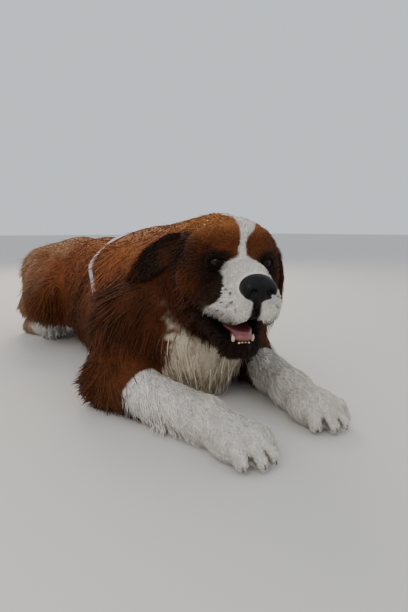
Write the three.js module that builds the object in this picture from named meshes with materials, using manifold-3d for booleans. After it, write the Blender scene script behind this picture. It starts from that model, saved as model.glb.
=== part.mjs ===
// A long-coated Saint Bernard lying on its chest with its forelegs stretched out and its mouth open, life size.
// Millimetres, +Z up. The dog faces -Y and its left side is +X. The origin lies on the floor under the breastbone.
import * as THREE from "three";
import { mergeVertices } from "three/addons/utils/BufferGeometryUtils.js";
import Module from "manifold-3d";

const wasm = await Module();
wasm.setup();
const { Manifold, Mesh } = wasm;

// Driving dimensions of the lying dog
const BACK_HEIGHT = 356;
const CHEST_HALF_WIDTH = 158;
const RUMP_HALF_WIDTH = 138;
const RUMP_Y = 470;
const ELBOW = { x: 186, y: -200, z: 60 };
const WRIST = { x: 121, y: -432, z: 43 };
const FOREPAW = { x: 106, y: -512, z: 32 };
const KNEE = { x: 150, y: 365, z: 158 };
const HOCK = { x: 150, y: 615, z: 72 };
const RIGHT_REACH = 18;
const HINDPAW = { x: 106, y: 505, z: 29 };
const TOES_PER_PAW = 4;
const EYE_CENTRE_SPREAD = 46;
const EYE_RADIUS = 13;
const EYE_DEPTH = 8;
const GAP = 0.35;

// The head's own frame has its origin midway between the eyes, with -Y forward
const HEAD = {
  x: -42,
  y: -447,
  z: 323,
  turnRight: 18,
  noseDown: 4,
  leftSideDown: 2.5,
};

// Coat: how far locks stand off the core, and how long they are
const COAT = {
  torso: { length: 150, width: 74, stand: 26, spacing: 206 },
  neck: { length: 120, width: 58, stand: 26, spacing: 112 },
  foreleg: { length: 95, width: 42, stand: 17, spacing: 112 },
  hind_leg: { length: 120, width: 58, stand: 24, spacing: 122 },
  tail: { length: 110, width: 46, stand: 19, spacing: 108 },
};

// Edges shorter than this are merged
const FINE_DETAIL = 0.5;
const WELD = 0.01;
const JAW_WELD = 0.06;

// Cell sizes of the surface grids
const CELL = {
  torso: 50,
  neck: 40,
  head: 20,
  nose: 7.4,
  tongue: 12,
  jaw: 13.5,
  foreleg: 31,
  forepaw: 17,
  hind_leg: 40,
  hind_foot: 18,
  tail: 34,
};

const point = (x, y, z) => new THREE.Vector3(x, y, z);
const degrees = THREE.MathUtils.degToRad;
const sides = [
  { name: "left", sign: 1 },
  { name: "right", sign: -1 },
];

// A repeatable random number from 0 to 1
function randomFrom(seed) {
  let state = seed;
  return () => {
    state = (state * 1664525 + 1013904223) % 4294967296;
    return state / 4294967296;
  };
}

// Distance to an egg-shaped mass, negative inside
function mass(centre, rx, ry, rz) {
  return (p) => {
    const x = (p.x - centre.x) / rx;
    const y = (p.y - centre.y) / ry;
    const z = (p.z - centre.z) / rz;
    const scaled = Math.hypot(x, y, z);
    const slope = Math.hypot(x / rx, y / ry, z / rz);
    return slope < 1e-9 ? -Math.min(rx, ry, rz) : (scaled * (scaled - 1)) / slope;
  };
}

// Distance to a round limb that tapers from one end to the other
function limb(from, to, fromRadius, toRadius) {
  const along = to.clone().sub(from);
  const lengthSq = along.lengthSq();
  return (p) => {
    const t = THREE.MathUtils.clamp(p.clone().sub(from).dot(along) / lengthSq, 0, 1);
    const nearest = from.clone().addScaledVector(along, t);
    return p.distanceTo(nearest) - fromRadius - t * (toRadius - fromRadius);
  };
}

// Several masses grown together with a soft crease
function grownTogether(softness, ...fields) {
  return (p) => {
    let d = fields[0](p);
    for (const field of fields.slice(1)) {
      const e = field(p);
      const h = Math.max(softness - Math.abs(d - e), 0) / softness;
      d = Math.min(d, e) - (h * h * softness) / 4;
    }
    return d;
  };
}

// A mass with another one hollowed out of it, with a rounded rim
function hollowed(softness, field, cutter) {
  return (p) => {
    const d = field(p);
    const e = -cutter(p);
    const h = Math.max(softness - Math.abs(d - e), 0) / softness;
    return Math.max(d, e) + (h * h * softness) / 4;
  };
}

// A field written in another frame
function inFrame(frame, field) {
  const inverse = frame.clone().invert();
  return (p) => field(p.clone().applyMatrix4(inverse));
}

function slopeOf(field, p) {
  const step = 0.5;
  const dx = field(point(p.x + step, p.y, p.z)) - field(point(p.x - step, p.y, p.z));
  const dy = field(point(p.x, p.y + step, p.z)) - field(point(p.x, p.y - step, p.z));
  const dz = field(point(p.x, p.y, p.z + step)) - field(point(p.x, p.y, p.z - step));
  return point(dx, dy, dz).divideScalar(2 * step);
}

// Moves a point along the slope until its distance is the one asked for
function settle(field, p, distance, steps = 4) {
  for (let i = 0; i < steps; i++) {
    const slope = slopeOf(field, p);
    const sq = slope.lengthSq();
    if (sq < 1e-6) break;
    p.addScaledVector(slope, -(field(p) - distance) / sq);
  }
  return p;
}

function solidFrom(positions, triangles) {
  return new Manifold(
    new Mesh({
      numProp: 3,
      vertProperties: new Float32Array(positions),
      triVerts: new Uint32Array(triangles),
    }),
  );
}

// The closed surface of a field inside a box, as quads round each grid edge that crosses it
function surfaceOf(field, low, high, cell) {
  const span = high.clone().sub(low);
  const count = [span.x, span.y, span.z].map((s) => Math.ceil(s / cell) + 1);
  const nodeAt = (i, j, k) => i + count[0] * (j + count[1] * k);
  const value = new Float64Array(count[0] * count[1] * count[2]);
  const place = (i, j, k) => point(low.x + i * cell, low.y + j * cell, low.z + k * cell);
  const onRim = (i, j, k) =>
    i === 0 || j === 0 || k === 0 || i === count[0] - 1 || j === count[1] - 1 || k === count[2] - 1;
  for (let k = 0; k < count[2]; k++) {
    for (let j = 0; j < count[1]; j++) {
      for (let i = 0; i < count[0]; i++) {
        value[nodeAt(i, j, k)] = onRim(i, j, k) ? cell : field(place(i, j, k));
      }
    }
  }
  const corners = [0, 1, 2, 3, 4, 5, 6, 7].map((c) => [c & 1, (c >> 1) & 1, (c >> 2) & 1]);
  const edges = [];
  corners.forEach((a, i) =>
    corners.forEach((b, j) => {
      const apart = Math.abs(a[0] - b[0]) + Math.abs(a[1] - b[1]) + Math.abs(a[2] - b[2]);
      if (i < j && apart === 1) edges.push([a, b]);
    }),
  );
  const positions = [];
  const cellVertex = new Map();
  for (let k = 0; k < count[2] - 1; k++) {
    for (let j = 0; j < count[1] - 1; j++) {
      for (let i = 0; i < count[0] - 1; i++) {
        const sum = point(0, 0, 0);
        let crossings = 0;
        for (const [a, b] of edges) {
          const va = value[nodeAt(i + a[0], j + a[1], k + a[2])];
          const vb = value[nodeAt(i + b[0], j + b[1], k + b[2])];
          if (va < 0 === vb < 0) continue;
          const pa = place(i + a[0], j + a[1], k + a[2]);
          sum.add(pa.lerp(place(i + b[0], j + b[1], k + b[2]), va / (va - vb)));
          crossings++;
        }
        if (!crossings) continue;
        const p = sum.divideScalar(crossings);
        const settled = settle(field, p.clone(), 0, 3);
        const used = settled.distanceTo(p) < cell * 0.5 ? settled : p;
        cellVertex.set(nodeAt(i, j, k), positions.length / 3);
        positions.push(used.x, used.y, used.z);
      }
    }
  }
  const triangles = [];
  const vertexAt = (n) => point(positions[3 * n], positions[3 * n + 1], positions[3 * n + 2]);
  const addQuad = (a, b, c, d) => {
    if (vertexAt(a).distanceTo(vertexAt(c)) < vertexAt(b).distanceTo(vertexAt(d))) {
      triangles.push(a, b, c, a, c, d);
    } else {
      triangles.push(a, b, d, b, c, d);
    }
  };
  const steps = [
    [1, 0, 0],
    [0, 1, 0],
    [0, 0, 1],
  ];
  for (let k = 0; k < count[2] - 1; k++) {
    for (let j = 0; j < count[1] - 1; j++) {
      for (let i = 0; i < count[0] - 1; i++) {
        steps.forEach((step, axis) => {
          const index = [i, j, k];
          if (!index[(axis + 1) % 3] || !index[(axis + 2) % 3]) return;
          const here = value[nodeAt(i, j, k)];
          const next = value[nodeAt(i + step[0], j + step[1], k + step[2])];
          if (here < 0 === next < 0) return;
          const u = steps[(axis + 1) % 3];
          const v = steps[(axis + 2) % 3];
          const ring = [
            [0, 0],
            [1, 0],
            [1, 1],
            [0, 1],
          ].map(([s, t]) =>
            cellVertex.get(nodeAt(i - s * u[0] - t * v[0], j - s * u[1] - t * v[1], k - s * u[2] - t * v[2])),
          );
          if (here < 0) addQuad(...ring);
          else addQuad(...ring.reverse());
        });
      }
    }
  }
  return solidFrom(positions, triangles);
}

// A three.js geometry as a solid
function solidOf(geometry, matrix = new THREE.Matrix4()) {
  const bare = geometry.clone().applyMatrix4(matrix);
  bare.deleteAttribute("normal");
  bare.deleteAttribute("uv");
  const merged = mergeVertices(bare, 1e-3);
  return solidFrom(merged.attributes.position.array, merged.index.array);
}

// A closed body through rings of points, ending in a flat cap, or in a point where a ring holds one point
function loft(rings) {
  const positions = [];
  const starts = [];
  rings.forEach((ring) => {
    starts.push(positions.length / 3);
    ring.forEach((p) => positions.push(p.x, p.y, p.z));
  });
  const triangles = [];
  const last = rings.length - 1;
  for (let r = 0; r < last; r++) {
    const n = Math.max(rings[r].length, rings[r + 1].length);
    for (let i = 0; i < n; i++) {
      const a = starts[r] + (rings[r].length === 1 ? 0 : i);
      const b = starts[r] + (rings[r].length === 1 ? 0 : (i + 1) % n);
      const c = starts[r + 1] + (rings[r + 1].length === 1 ? 0 : (i + 1) % n);
      const d = starts[r + 1] + (rings[r + 1].length === 1 ? 0 : i);
      if (a !== b) triangles.push(a, b, c);
      if (c !== d) triangles.push(a, c, d);
    }
  }
  for (let i = 1; i < rings[0].length - 1; i++) triangles.push(starts[0], starts[0] + i + 1, starts[0] + i);
  for (let i = 1; i < rings[last].length - 1; i++) triangles.push(starts[last], starts[last] + i, starts[last] + i + 1);
  const made = solidFrom(positions, triangles);
  if (made.volume() >= 0) return made;
  for (let i = 0; i < triangles.length; i += 3) [triangles[i], triangles[i + 1]] = [triangles[i + 1], triangles[i]];
  return solidFrom(positions, triangles);
}

// The same solid a little larger all over
function enlarged(solid, by) {
  const mesh = solid.getMesh();
  const stride = mesh.numProp;
  const geometry = new THREE.BufferGeometry();
  const bare = new Float32Array(mesh.numVert * 3);
  for (let i = 0; i < mesh.numVert; i++) bare.set(mesh.vertProperties.subarray(i * stride, i * stride + 3), i * 3);
  geometry.setAttribute("position", new THREE.BufferAttribute(bare, 3));
  geometry.setIndex(new THREE.BufferAttribute(mesh.triVerts, 1));
  geometry.computeVertexNormals();
  const normal = geometry.getAttribute("normal").array;
  for (let i = 0; i < bare.length; i++) bare[i] += by * normal[i];
  return solidFrom(bare, mesh.triVerts);
}

function largestOf(solid) {
  return solid.decompose().reduce((a, b) => (a.volume() >= b.volume() ? a : b));
}

const FLOOR = [0, 0, 1];
const aboveFloor = (solid) => solid.trimByPlane(FLOOR, 0);

// A plane by a point on it and the way it faces; keepBeyond keeps what lies that way, less half the gap
function keepBeyond(solid, on, facing) {
  const n = facing.clone().normalize();
  return solid.trimByPlane([n.x, n.y, n.z], n.dot(on) + GAP / 2);
}

// Body fields
const spine = {
  chest: mass(point(0, -30, 170), CHEST_HALF_WIDTH, 262, 188),
  withers: mass(point(0, -85, 280), 88, 140, 82),
  breast: mass(point(-4, -262, 150), 126, 88, 130),
  belly: mass(point(0, 190, 118), 112, 225, 122),
  loin: mass(point(0, 235, 195), 124, 230, BACK_HEIGHT - 195),
  rump: mass(point(0, RUMP_Y, 200), RUMP_HALF_WIDTH, 180, BACK_HEIGHT - 202),
  seat: mass(point(0, 560, 135), 105, 98, 112),
};

// The right foreleg reaches a little further forward than the left
const forward = (sign) => (sign < 0 ? -RIGHT_REACH : 0);
const wristOf = (sign) => point(sign * WRIST.x, WRIST.y + forward(sign), WRIST.z);
const forepawOf = (sign) => point(sign * FOREPAW.x, FOREPAW.y + forward(sign), FOREPAW.z);

function forequarter(sign) {
  const shoulder = point(sign * 138, -212, 182);
  const elbow = point(sign * ELBOW.x, ELBOW.y, ELBOW.z);
  const wrist = wristOf(sign);
  return grownTogether(
    40,
    limb(point(sign * 92, -70, 280), shoulder, 70, 72),
    limb(shoulder, elbow, 72, 60),
    limb(elbow, wrist, 53, 36),
  );
}

// A paw with its toes, as one field
function paw(centre, sign, halfWidth, halfLength, height, heading) {
  const pad = mass(point(0, 0, 0), halfWidth, halfLength, height);
  const toes = [];
  for (let i = 0; i < TOES_PER_PAW; i++) {
    const across = (i - (TOES_PER_PAW - 1) / 2) / ((TOES_PER_PAW - 1) / 2);
    const reach = halfLength * (0.98 - 0.34 * across * across);
    const root = point(across * halfWidth * 0.52, -halfLength * 0.25, height * 0.12);
    const tip = point(across * halfWidth * 0.7, -reach, -height * 0.32);
    toes.push(limb(root, tip, halfWidth * 0.33, halfWidth * 0.27));
  }
  const frame = new THREE.Matrix4().makeRotationZ(degrees(heading * sign)).setPosition(centre);
  return inFrame(frame, grownTogether(9, pad, ...toes));
}

function forepaw(sign) {
  const centre = forepawOf(sign);
  const wrist = wristOf(sign);
  const pastern = limb(wrist, centre, 38, 34);
  return grownTogether(22, pastern, paw(centre, sign, 52, 66, 34, -6));
}

function hindquarter(sign) {
  const hip = point(sign * 108, 490, 232);
  const knee = point(sign * KNEE.x, KNEE.y, KNEE.z);
  const hock = point(sign * HOCK.x, HOCK.y, HOCK.z + 34);
  return grownTogether(
    45,
    limb(hip, knee, 92, 62),
    limb(knee, hock, 58, 42),
    mass(point(sign * 112, 560, 175), 62, 92, 105),
  );
}

function hindFoot(sign) {
  const heel = point(sign * (HOCK.x - 2), HOCK.y + 8, 30);
  const centre = point(sign * HINDPAW.x, HINDPAW.y, HINDPAW.z);
  return grownTogether(16, limb(heel, centre, 32, 30), paw(centre, sign, 43, 52, 31, 16));
}

const TAIL_PATH = [
  point(8, 615, 215),
  point(24, 690, 150),
  point(70, 742, 74),
  point(150, 752, 44),
  point(235, 716, 40),
  point(300, 648, 34),
  point(338, 566, 26),
];
const TAIL_RADII = [44, 42, 42, 40, 36, 29, 16];
const tailParts = TAIL_PATH.slice(1).map((to, i) => limb(TAIL_PATH[i], to, TAIL_RADII[i], TAIL_RADII[i + 1]));
const tailField = grownTogether(26, ...tailParts);

// Head fields, in the head's own frame
const headFrame = new THREE.Matrix4()
  .makeTranslation(HEAD.x, HEAD.y, HEAD.z)
  .multiply(new THREE.Matrix4().makeRotationZ(degrees(-HEAD.turnRight)))
  .multiply(new THREE.Matrix4().makeRotationX(degrees(HEAD.noseDown)))
  .multiply(new THREE.Matrix4().makeRotationY(degrees(HEAD.leftSideDown)));

function headField() {
  const skull = mass(point(0, 72, 14), 82, 96, 68);
  const forehead = mass(point(0, 22, 26), 60, 42, 44);
  const bridge = limb(point(0, 4, -12), point(0, -66, -22), 34, 28);
  const foreface = mass(point(0, -44, -50), 46, 50, 38);
  const parts = [skull, forehead, bridge, foreface];
  for (const { sign } of sides) {
    parts.push(mass(point(sign * 60, 58, -34), 40, 66, 56));
    parts.push(limb(point(sign * 30, 6, 18), point(sign * 54, 30, 22), 23, 24));
    parts.push(limb(point(sign * 25, -66, -62), point(sign * 40, 0, -72), 29, 28));
    parts.push(mass(point(sign * 29, -54, -80), 20, 36, 24));
  }
  const skin = grownTogether(26, ...parts);
  const mouth = grownTogether(
    12,
    mass(point(0, -50, -110), 36, 56, 31),
    mass(point(0, 8, -106), 44, 48, 25),
  );
  return hollowed(8, skin, mouth);
}

// Where a line from straight ahead meets the face
function faceAt(field, x, z) {
  const p = point(x, -90, z);
  while (field(p) > 0 && p.y < 60) p.y += 0.5;
  return p;
}

const bareHead = headField();
const eyeSpots = sides.map(({ sign }) => faceAt(bareHead, sign * EYE_CENTRE_SPREAD, 0));
const headLocal = eyeSpots.reduce(
  (field, spot) => hollowed(14, field, mass(spot.clone().add(point(0, -5, 0)), 16, 10, 10)),
  bareHead,
);
const headWorld = inFrame(headFrame, headLocal);
const toHead = (x, y, z) => point(x, y, z).applyMatrix4(headFrame);
const headBase = toHead(0, 104, -22);
const throatField = grownTogether(
  40,
  limb(point(0, -120, 252), headBase, 133, 111),
  limb(point(-4, -225, 165), toHead(0, 70, -84), 112, 66),
);

const forequarters = sides.map(({ sign }) => forequarter(sign));
const hindquarters = sides.map(({ sign }) => hindquarter(sign));
const trunkField = grownTogether(60, ...Object.values(spine));

// Where the nodes are parted
const neckCut = { on: point(-3, -190, 250), facing: point(-0.02, -0.94, 0.34) };
const headCut = { on: toHead(0, 92, -40), facing: toHead(0, -1, -0.5).sub(toHead(0, 0, 0)) };
const wristCut = (sign) => ({ on: point(sign * 122, -440 + forward(sign), 40), facing: point(-sign * 0.2, -0.96, -0.18) });
const heelCut = (sign) => ({ on: point(sign * 148, 622, 66), facing: point(0, 0.1, -0.99) });
const tailCut = { on: point(10, 640, 190), facing: point(0, 0.95, -0.3) };
const flipped = (cut) => ({ on: cut.on, facing: cut.facing.clone().negate() });
const cutTo = (solid, cut) => keepBeyond(solid, cut.on, cut.facing);
const less = (solid, others) => others.reduce((left, other) => left.subtract(enlarged(other, GAP)).subtract(other), solid);

// Fewer triangles where that changes nothing to speak of
const tidied = (solid) => solid.simplify(FINE_DETAIL);

// Slivers too small to keep are closed up
const welded = (solid) => solid.simplify(WELD);

// Where two coated forms cross, one is cut back by the other moved each way
function clearOf(solid, others) {
  let left = solid;
  for (const other of others) {
    for (const way of [1, -1]) {
      for (const axis of [0, 1, 2]) {
        const shift = [0, 0, 0];
        shift[axis] = way * GAP;
        left = left.subtract(other.translate(shift));
      }
    }
  }
  return welded(largestOf(left));
}

// The way the hair lies at a place on each form
const lie = {
  torso: (p) => point(p.x * 0.0012, p.y < -250 ? -0.15 : 0.75, p.z < 300 ? -0.75 : -0.12),
  neck: (p) => point(p.x * 0.003, 0.3, -0.95),
  foreleg: (p) => point(Math.sign(p.x) * 0.15, 0.7, p.y < -330 ? -0.35 : -0.7),
  hind_leg: (p) => point(0, 0.72, -0.7),
  tail: (p) => {
    const ends = TAIL_PATH.slice(1).map((to, i) => [TAIL_PATH[i], to]);
    const middle = ([from, to]) => from.clone().add(to).multiplyScalar(0.5);
    ends.sort((a, b) => middle(a).distanceTo(p) - middle(b).distanceTo(p));
    return ends[0][1].clone().sub(ends[0][0]).normalize();
  },
};

// One flat lock from a root sunk in the skin to a pointed tip, following the form as it goes
function lock(field, root, way, coat, random) {
  const length = coat.length * (0.75 + 0.5 * random());
  const width = coat.width * (0.8 + 0.4 * random());
  const stations = [0, 0.34, 0.68, 1];
  const widths = [0.7, 1, 0.72, 0];
  const heights = [-0.7, 0.35, 0.75, 1];
  const rings = [];
  let at = root.clone();
  let heading = way.clone().normalize();
  const turn = (random() - 0.5) * 0.5;
  stations.forEach((station, i) => {
    const out = slopeOf(field, at).normalize();
    if (i > 0) {
      heading.addScaledVector(out, -heading.dot(out)).normalize();
      heading.applyAxisAngle(out, turn);
      heading.z -= 0.12;
      at.addScaledVector(heading, length * (station - stations[i - 1]));
      at = settle(field, at, 0, 2);
    }
    const centre = at.clone().addScaledVector(out, coat.stand * heights[i]);
    centre.z = Math.max(centre.z, 9);
    const across = heading.clone().cross(out).normalize();
    const half = (width * widths[i]) / 2;
    if (half === 0) {
      rings.push([centre]);
      return;
    }
    rings.push([
      centre.clone().addScaledVector(across, half),
      centre.clone().addScaledVector(out, half * 0.42),
      centre.clone().addScaledVector(across, -half),
      centre.clone().addScaledVector(out, -half * 0.5),
    ]);
  });
  return loft(rings);
}

// Scatters locks over a core, none closer than the coat's spacing and none on a cut face
function locksOver(core, field, coat, way, seed, allowed) {
  const random = randomFrom(seed);
  const mesh = core.getMesh();
  const corner = (n) => point(...mesh.vertProperties.subarray(n * mesh.numProp, n * mesh.numProp + 3));
  const faces = [];
  let total = 0;
  for (let t = 0; t < mesh.triVerts.length; t += 3) {
    const [a, b, c] = [0, 1, 2].map((n) => corner(mesh.triVerts[t + n]));
    total += b.clone().sub(a).cross(c.clone().sub(a)).length();
    faces.push({ a, b, c, until: total });
  }
  const roots = [];
  const made = [];
  for (let tries = 0; tries < 2500; tries++) {
    const pick = random() * total;
    const face = faces.find((f) => f.until >= pick);
    const u = Math.sqrt(random());
    const v = random();
    const p = face.a.clone().multiplyScalar(1 - u);
    p.addScaledVector(face.b, u * (1 - v)).addScaledVector(face.c, u * v);
    const out = slopeOf(field, p).normalize();
    if (Math.abs(field(p)) > 4 || p.z < 22 || out.z < -0.45 || !allowed(p)) continue;
    if (roots.some((other) => other.distanceTo(p) < coat.spacing)) continue;
    roots.push(p);
    made.push(lock(field, p, way(p), coat, random));
  }
  return Manifold.union(made);
}

// True where a lock that starts at p ends outside the other forms
function endsClear(p, way, coat, fields) {
  const end = p.clone().addScaledVector(way(p).normalize(), coat.length * 0.8);
  return fields.every((field) => field(end) > 10);
}

// A form with its locks, parted from its neighbours, kept as one closed body above the floor
function coated(core, field, coat, way, seed, neighbours, allowed = () => true) {
  const withLocks = core.add(locksOver(core, field, coat, way, seed, allowed));
  return largestOf(welded(less(aboveFloor(tidied(withLocks)), neighbours)));
}

// The girth strap: a closed band round the chest behind the forelegs
const STRAP = { width: 25, thickness: 7, sunk: 3, sideY: -112, topY: 48, segments: 26 };
const torsoField = grownTogether(
  45,
  trunkField,
  ...sides.map(({ sign }) => limb(point(sign * 84, -60, 270), point(sign * 128, -190, 190), 68, 62)),
);

function strapBand() {
  const positions = [];
  const triangles = [];
  for (let i = 0; i < STRAP.segments; i++) {
    const angle = (2 * Math.PI * i) / STRAP.segments;
    const ray = point(Math.cos(angle), 0, Math.sin(angle));
    let reach = 60;
    const placed = () => {
      const z = 165 + ray.z * reach;
      const rise = THREE.MathUtils.smoothstep(z, 215, 345);
      return point(ray.x * reach, STRAP.sideY + (STRAP.topY - STRAP.sideY) * rise, Math.max(z, 9));
    };
    while (torsoField(placed()) < 0 && reach < 320) reach += 1;
    const foot = placed();
    for (const [y, out] of [
      [-1, -STRAP.sunk],
      [1, -STRAP.sunk],
      [1, STRAP.thickness - STRAP.sunk],
      [-1, STRAP.thickness - STRAP.sunk],
    ]) {
      const p = foot.clone().addScaledVector(ray, out);
      positions.push(p.x, p.y + (y * STRAP.width) / 2, Math.max(p.z, out > 0 ? 2 : 9));
    }
  }
  for (let i = 0; i < STRAP.segments; i++) {
    const next = (i + 1) % STRAP.segments;
    for (let s = 0; s < 4; s++) {
      const t = (s + 1) % 4;
      triangles.push(4 * i + s, 4 * next + s, 4 * next + t, 4 * i + s, 4 * next + t, 4 * i + t);
    }
  }
  const band = solidFrom(positions, triangles);
  if (band.volume() > 0) return band;
  return solidFrom(positions, triangles.reverse());
}

// Eyes sit back in the face
const eyeCentre = (sign) => eyeSpots[sign > 0 ? 0 : 1].clone().add(point(0, EYE_DEPTH, 0));

function eyeBall(sign) {
  const turned = headFrame.clone().multiply(new THREE.Matrix4().makeTranslation(...eyeCentre(sign).toArray()));
  return solidOf(new THREE.SphereGeometry(EYE_RADIUS, 12, 7), turned);
}

// An almond ring of eyelid round the eye
function lids(sign) {
  const centre = eyeCentre(sign);
  const facing = point(sign * 0.38, -0.92, 0.06).normalize();
  const turn = new THREE.Quaternion().setFromUnitVectors(point(0, 0, 1), facing);
  const ring = new THREE.Matrix4().compose(centre.addScaledVector(facing, 9), turn, point(1.12, 0.78, 0.9));
  return solidOf(new THREE.TorusGeometry(15, 5, 5, 12), headFrame.clone().multiply(ring));
}

// A hanging ear flap that is cupped across its width, with its outer face turned one way
function ear(path, widths, facing, sign) {
  const spots = path.map(([x, y, z]) => point(sign * x, y, z));
  const rings = spots.map((spot, i) => {
    const along = spots[Math.min(i + 1, spots.length - 1)].clone().sub(spots[Math.max(i - 1, 0)]).normalize();
    const out = facing.clone().addScaledVector(along, -facing.dot(along)).normalize();
    const across = along.clone().cross(out);
    const half = widths[i] / 2;
    const thick = i === 0 ? 16 : 8;
    const outer = [];
    const inner = [];
    for (let s = 0; s <= 4; s++) {
      const t = s / 2 - 1;
      const mid = spot.clone().addScaledVector(across, t * half).addScaledVector(out, half * 0.3 * (1 - t * t));
      const rim = 1 - 0.6 * t * t;
      outer.push(mid.clone().addScaledVector(out, (thick * rim) / 2));
      inner.unshift(mid.clone().addScaledVector(out, (-thick * rim) / 2));
    }
    return [...outer, ...inner].map((p) => p.applyMatrix4(headFrame));
  });
  return loft(rings);
}

const EAR_WIDTHS = [46, 64, 66, 52, 20];
const EAR_PATHS = {
  left: [[70, 84, 20], [95, 80, 12], [109, 72, -20], [112, 62, -64], [105, 54, -106]],
  right: [[70, 88, 20], [96, 102, 12], [121, 126, -6], [144, 152, -30], [162, 180, -56]],
};
const EAR_FACINGS = { left: point(0.95, 0, 0.25), right: point(-0.62, -0.66, 0.42) };

function noseSolid() {
  const pad = mass(point(0, -92, -30), 31, 22, 23);
  let field = hollowed(4, pad, mass(point(13, -114, -34), 7, 9, 6));
  field = hollowed(4, field, mass(point(-13, -114, -34), 7, 9, 6));
  return surfaceOf(field, point(-38, -126, -62), point(38, -62, 2), CELL.nose).transform(headFrame.toArray());
}

function jawSolid() {
  const bone = grownTogether(
    14,
    limb(point(44, 44, -102), point(20, -38, -149), 17, 13),
    limb(point(-44, 44, -102), point(-20, -38, -149), 17, 13),
    mass(point(0, -38, -152), 28, 25, 15),
    mass(point(0, 14, -137), 40, 60, 16),
  );
  let jaw = surfaceOf(bone, point(-72, -90, -176), point(72, 90, -70), CELL.jaw);
  for (const { sign } of sides) {
    const canine = new THREE.ConeGeometry(4.6, 26, 6);
    const upright = new THREE.Matrix4().makeRotationX(degrees(90)).setPosition(sign * 17, -49, -128);
    jaw = jaw.add(solidOf(canine, upright));
    for (const x of [4, 11]) {
      const incisor = new THREE.SphereGeometry(3.2, 6, 4);
      jaw = jaw.add(solidOf(incisor, new THREE.Matrix4().makeTranslation(sign * x, -58, -138)));
    }
  }
  return jaw.transform(headFrame.toArray());
}

function tongueSolid() {
  const field = grownTogether(8, mass(point(0, -10, -116), 24, 54, 9), mass(point(0, -44, -127), 20, 20, 8));
  return surfaceOf(field, point(-32, -80, -146), point(32, 60, -94), CELL.tongue).transform(headFrame.toArray());
}

// Claws at the tips of the toes
function clawed(solid, centre, sign, halfWidth, halfLength, height, heading) {
  const frame = new THREE.Matrix4().makeRotationZ(degrees(heading * sign)).setPosition(centre);
  let out = solid;
  for (let i = 0; i < TOES_PER_PAW; i++) {
    const across = (i - (TOES_PER_PAW - 1) / 2) / ((TOES_PER_PAW - 1) / 2);
    const reach = halfLength * (0.98 - 0.34 * across * across) + halfWidth * 0.24;
    const claw = new THREE.Matrix4()
      .makeRotationX(degrees(118))
      .setPosition(across * halfWidth * 0.7, -reach, -height * 0.38);
    out = out.add(solidOf(new THREE.ConeGeometry(4.4, 22, 6), frame.clone().multiply(claw)));
  }
  return out;
}

const parts = {};

const headSkin = surfaceOf(grownTogether(36, headWorld, throatField), point(-190, -600, 150), point(130, -230, 440), CELL.head);
parts.tongue = tongueSolid();
parts.lower_jaw = largestOf(less(tidied(jawSolid()), [parts.tongue])).simplify(JAW_WELD);
parts.nose = noseSolid();
for (const { name, sign } of sides) parts[`eye_${name}`] = eyeBall(sign);
let head = cutTo(headSkin, headCut);
for (const { sign } of sides) head = head.add(lids(sign));
head = less(tidied(head), [parts.tongue, parts.lower_jaw, parts.nose, parts.eye_left, parts.eye_right]);
parts.head = welded(largestOf(head));
for (const { name, sign } of sides) {
  parts[`ear_${name}`] = largestOf(less(ear(EAR_PATHS[name], EAR_WIDTHS, EAR_FACINGS[name], sign), [parts.head]));
}
const headNodes = [parts.head, parts.lower_jaw, parts.tongue, parts.ear_left, parts.ear_right];

parts.girth_strap = aboveFloor(strapBand());

// The torso's core is made first, and the forms round it are parted from it
const torsoCore = aboveFloor(surfaceOf(torsoField, point(-230, -420, -60), point(230, 720, 420), CELL.torso));
const offTorso = (solid) => largestOf(solid.subtract(enlarged(torsoCore, 2 * GAP).add(torsoCore)));

for (const { name, sign } of sides) {
  const fore = sign > 0 ? forequarters[0] : forequarters[1];
  const pawLow = point(sign > 0 ? 30 : -190, -640, -10);
  const pawSkin = surfaceOf(forepaw(sign), pawLow, pawLow.clone().add(point(160, 260, 110)), CELL.forepaw);
  const centre = forepawOf(sign);
  const pawCore = aboveFloor(cutTo(clawed(pawSkin, centre, sign, 52, 66, 34, -6), wristCut(sign)));
  parts[`forepaw_${name}`] = largestOf(pawCore);
  const low = point(sign > 0 ? 0 : -290, -500, -20);
  const legSkin = surfaceOf(fore, low, low.clone().add(point(290, 540, 400)), CELL.foreleg);
  const armOnly = legSkin.trimByPlane([0, -0.94, -0.34], 0.94 * 110 - 0.34 * 200);
  const legCore = offTorso(aboveFloor(cutTo(armOnly, flipped(wristCut(sign)))));
  const seed = sign > 0 ? 31 : 57;
  const others = [...headNodes, parts[`forepaw_${name}`], parts.girth_strap];
  parts[`foreleg_${name}`] = coated(legCore, fore, COAT.foreleg, lie.foreleg, seed, others);

  const footLow = point(sign > 0 ? 30 : -220, 410, -10);
  const footSkin = surfaceOf(hindFoot(sign), footLow, footLow.clone().add(point(190, 280, 100)), CELL.hind_foot);
  const footCentre = point(sign * HINDPAW.x, HINDPAW.y, HINDPAW.z);
  const footCore = clawed(footSkin, footCentre, sign, 43, 52, 31, 16);
  parts[`hind_foot_${name}`] = largestOf(aboveFloor(footCore));
  const hind = sign > 0 ? hindquarters[0] : hindquarters[1];
  const hindLow = point(sign > 0 ? 0 : -300, 270, -20);
  const hindCore = offTorso(aboveFloor(surfaceOf(hind, hindLow, hindLow.clone().add(point(300, 440, 420)), CELL.hind_leg)));
  const foot = parts[`hind_foot_${name}`];
  parts[`hind_leg_${name}`] = coated(hindCore, hind, COAT.hind_leg, lie.hind_leg, seed + 4, [foot]);
}

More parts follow.
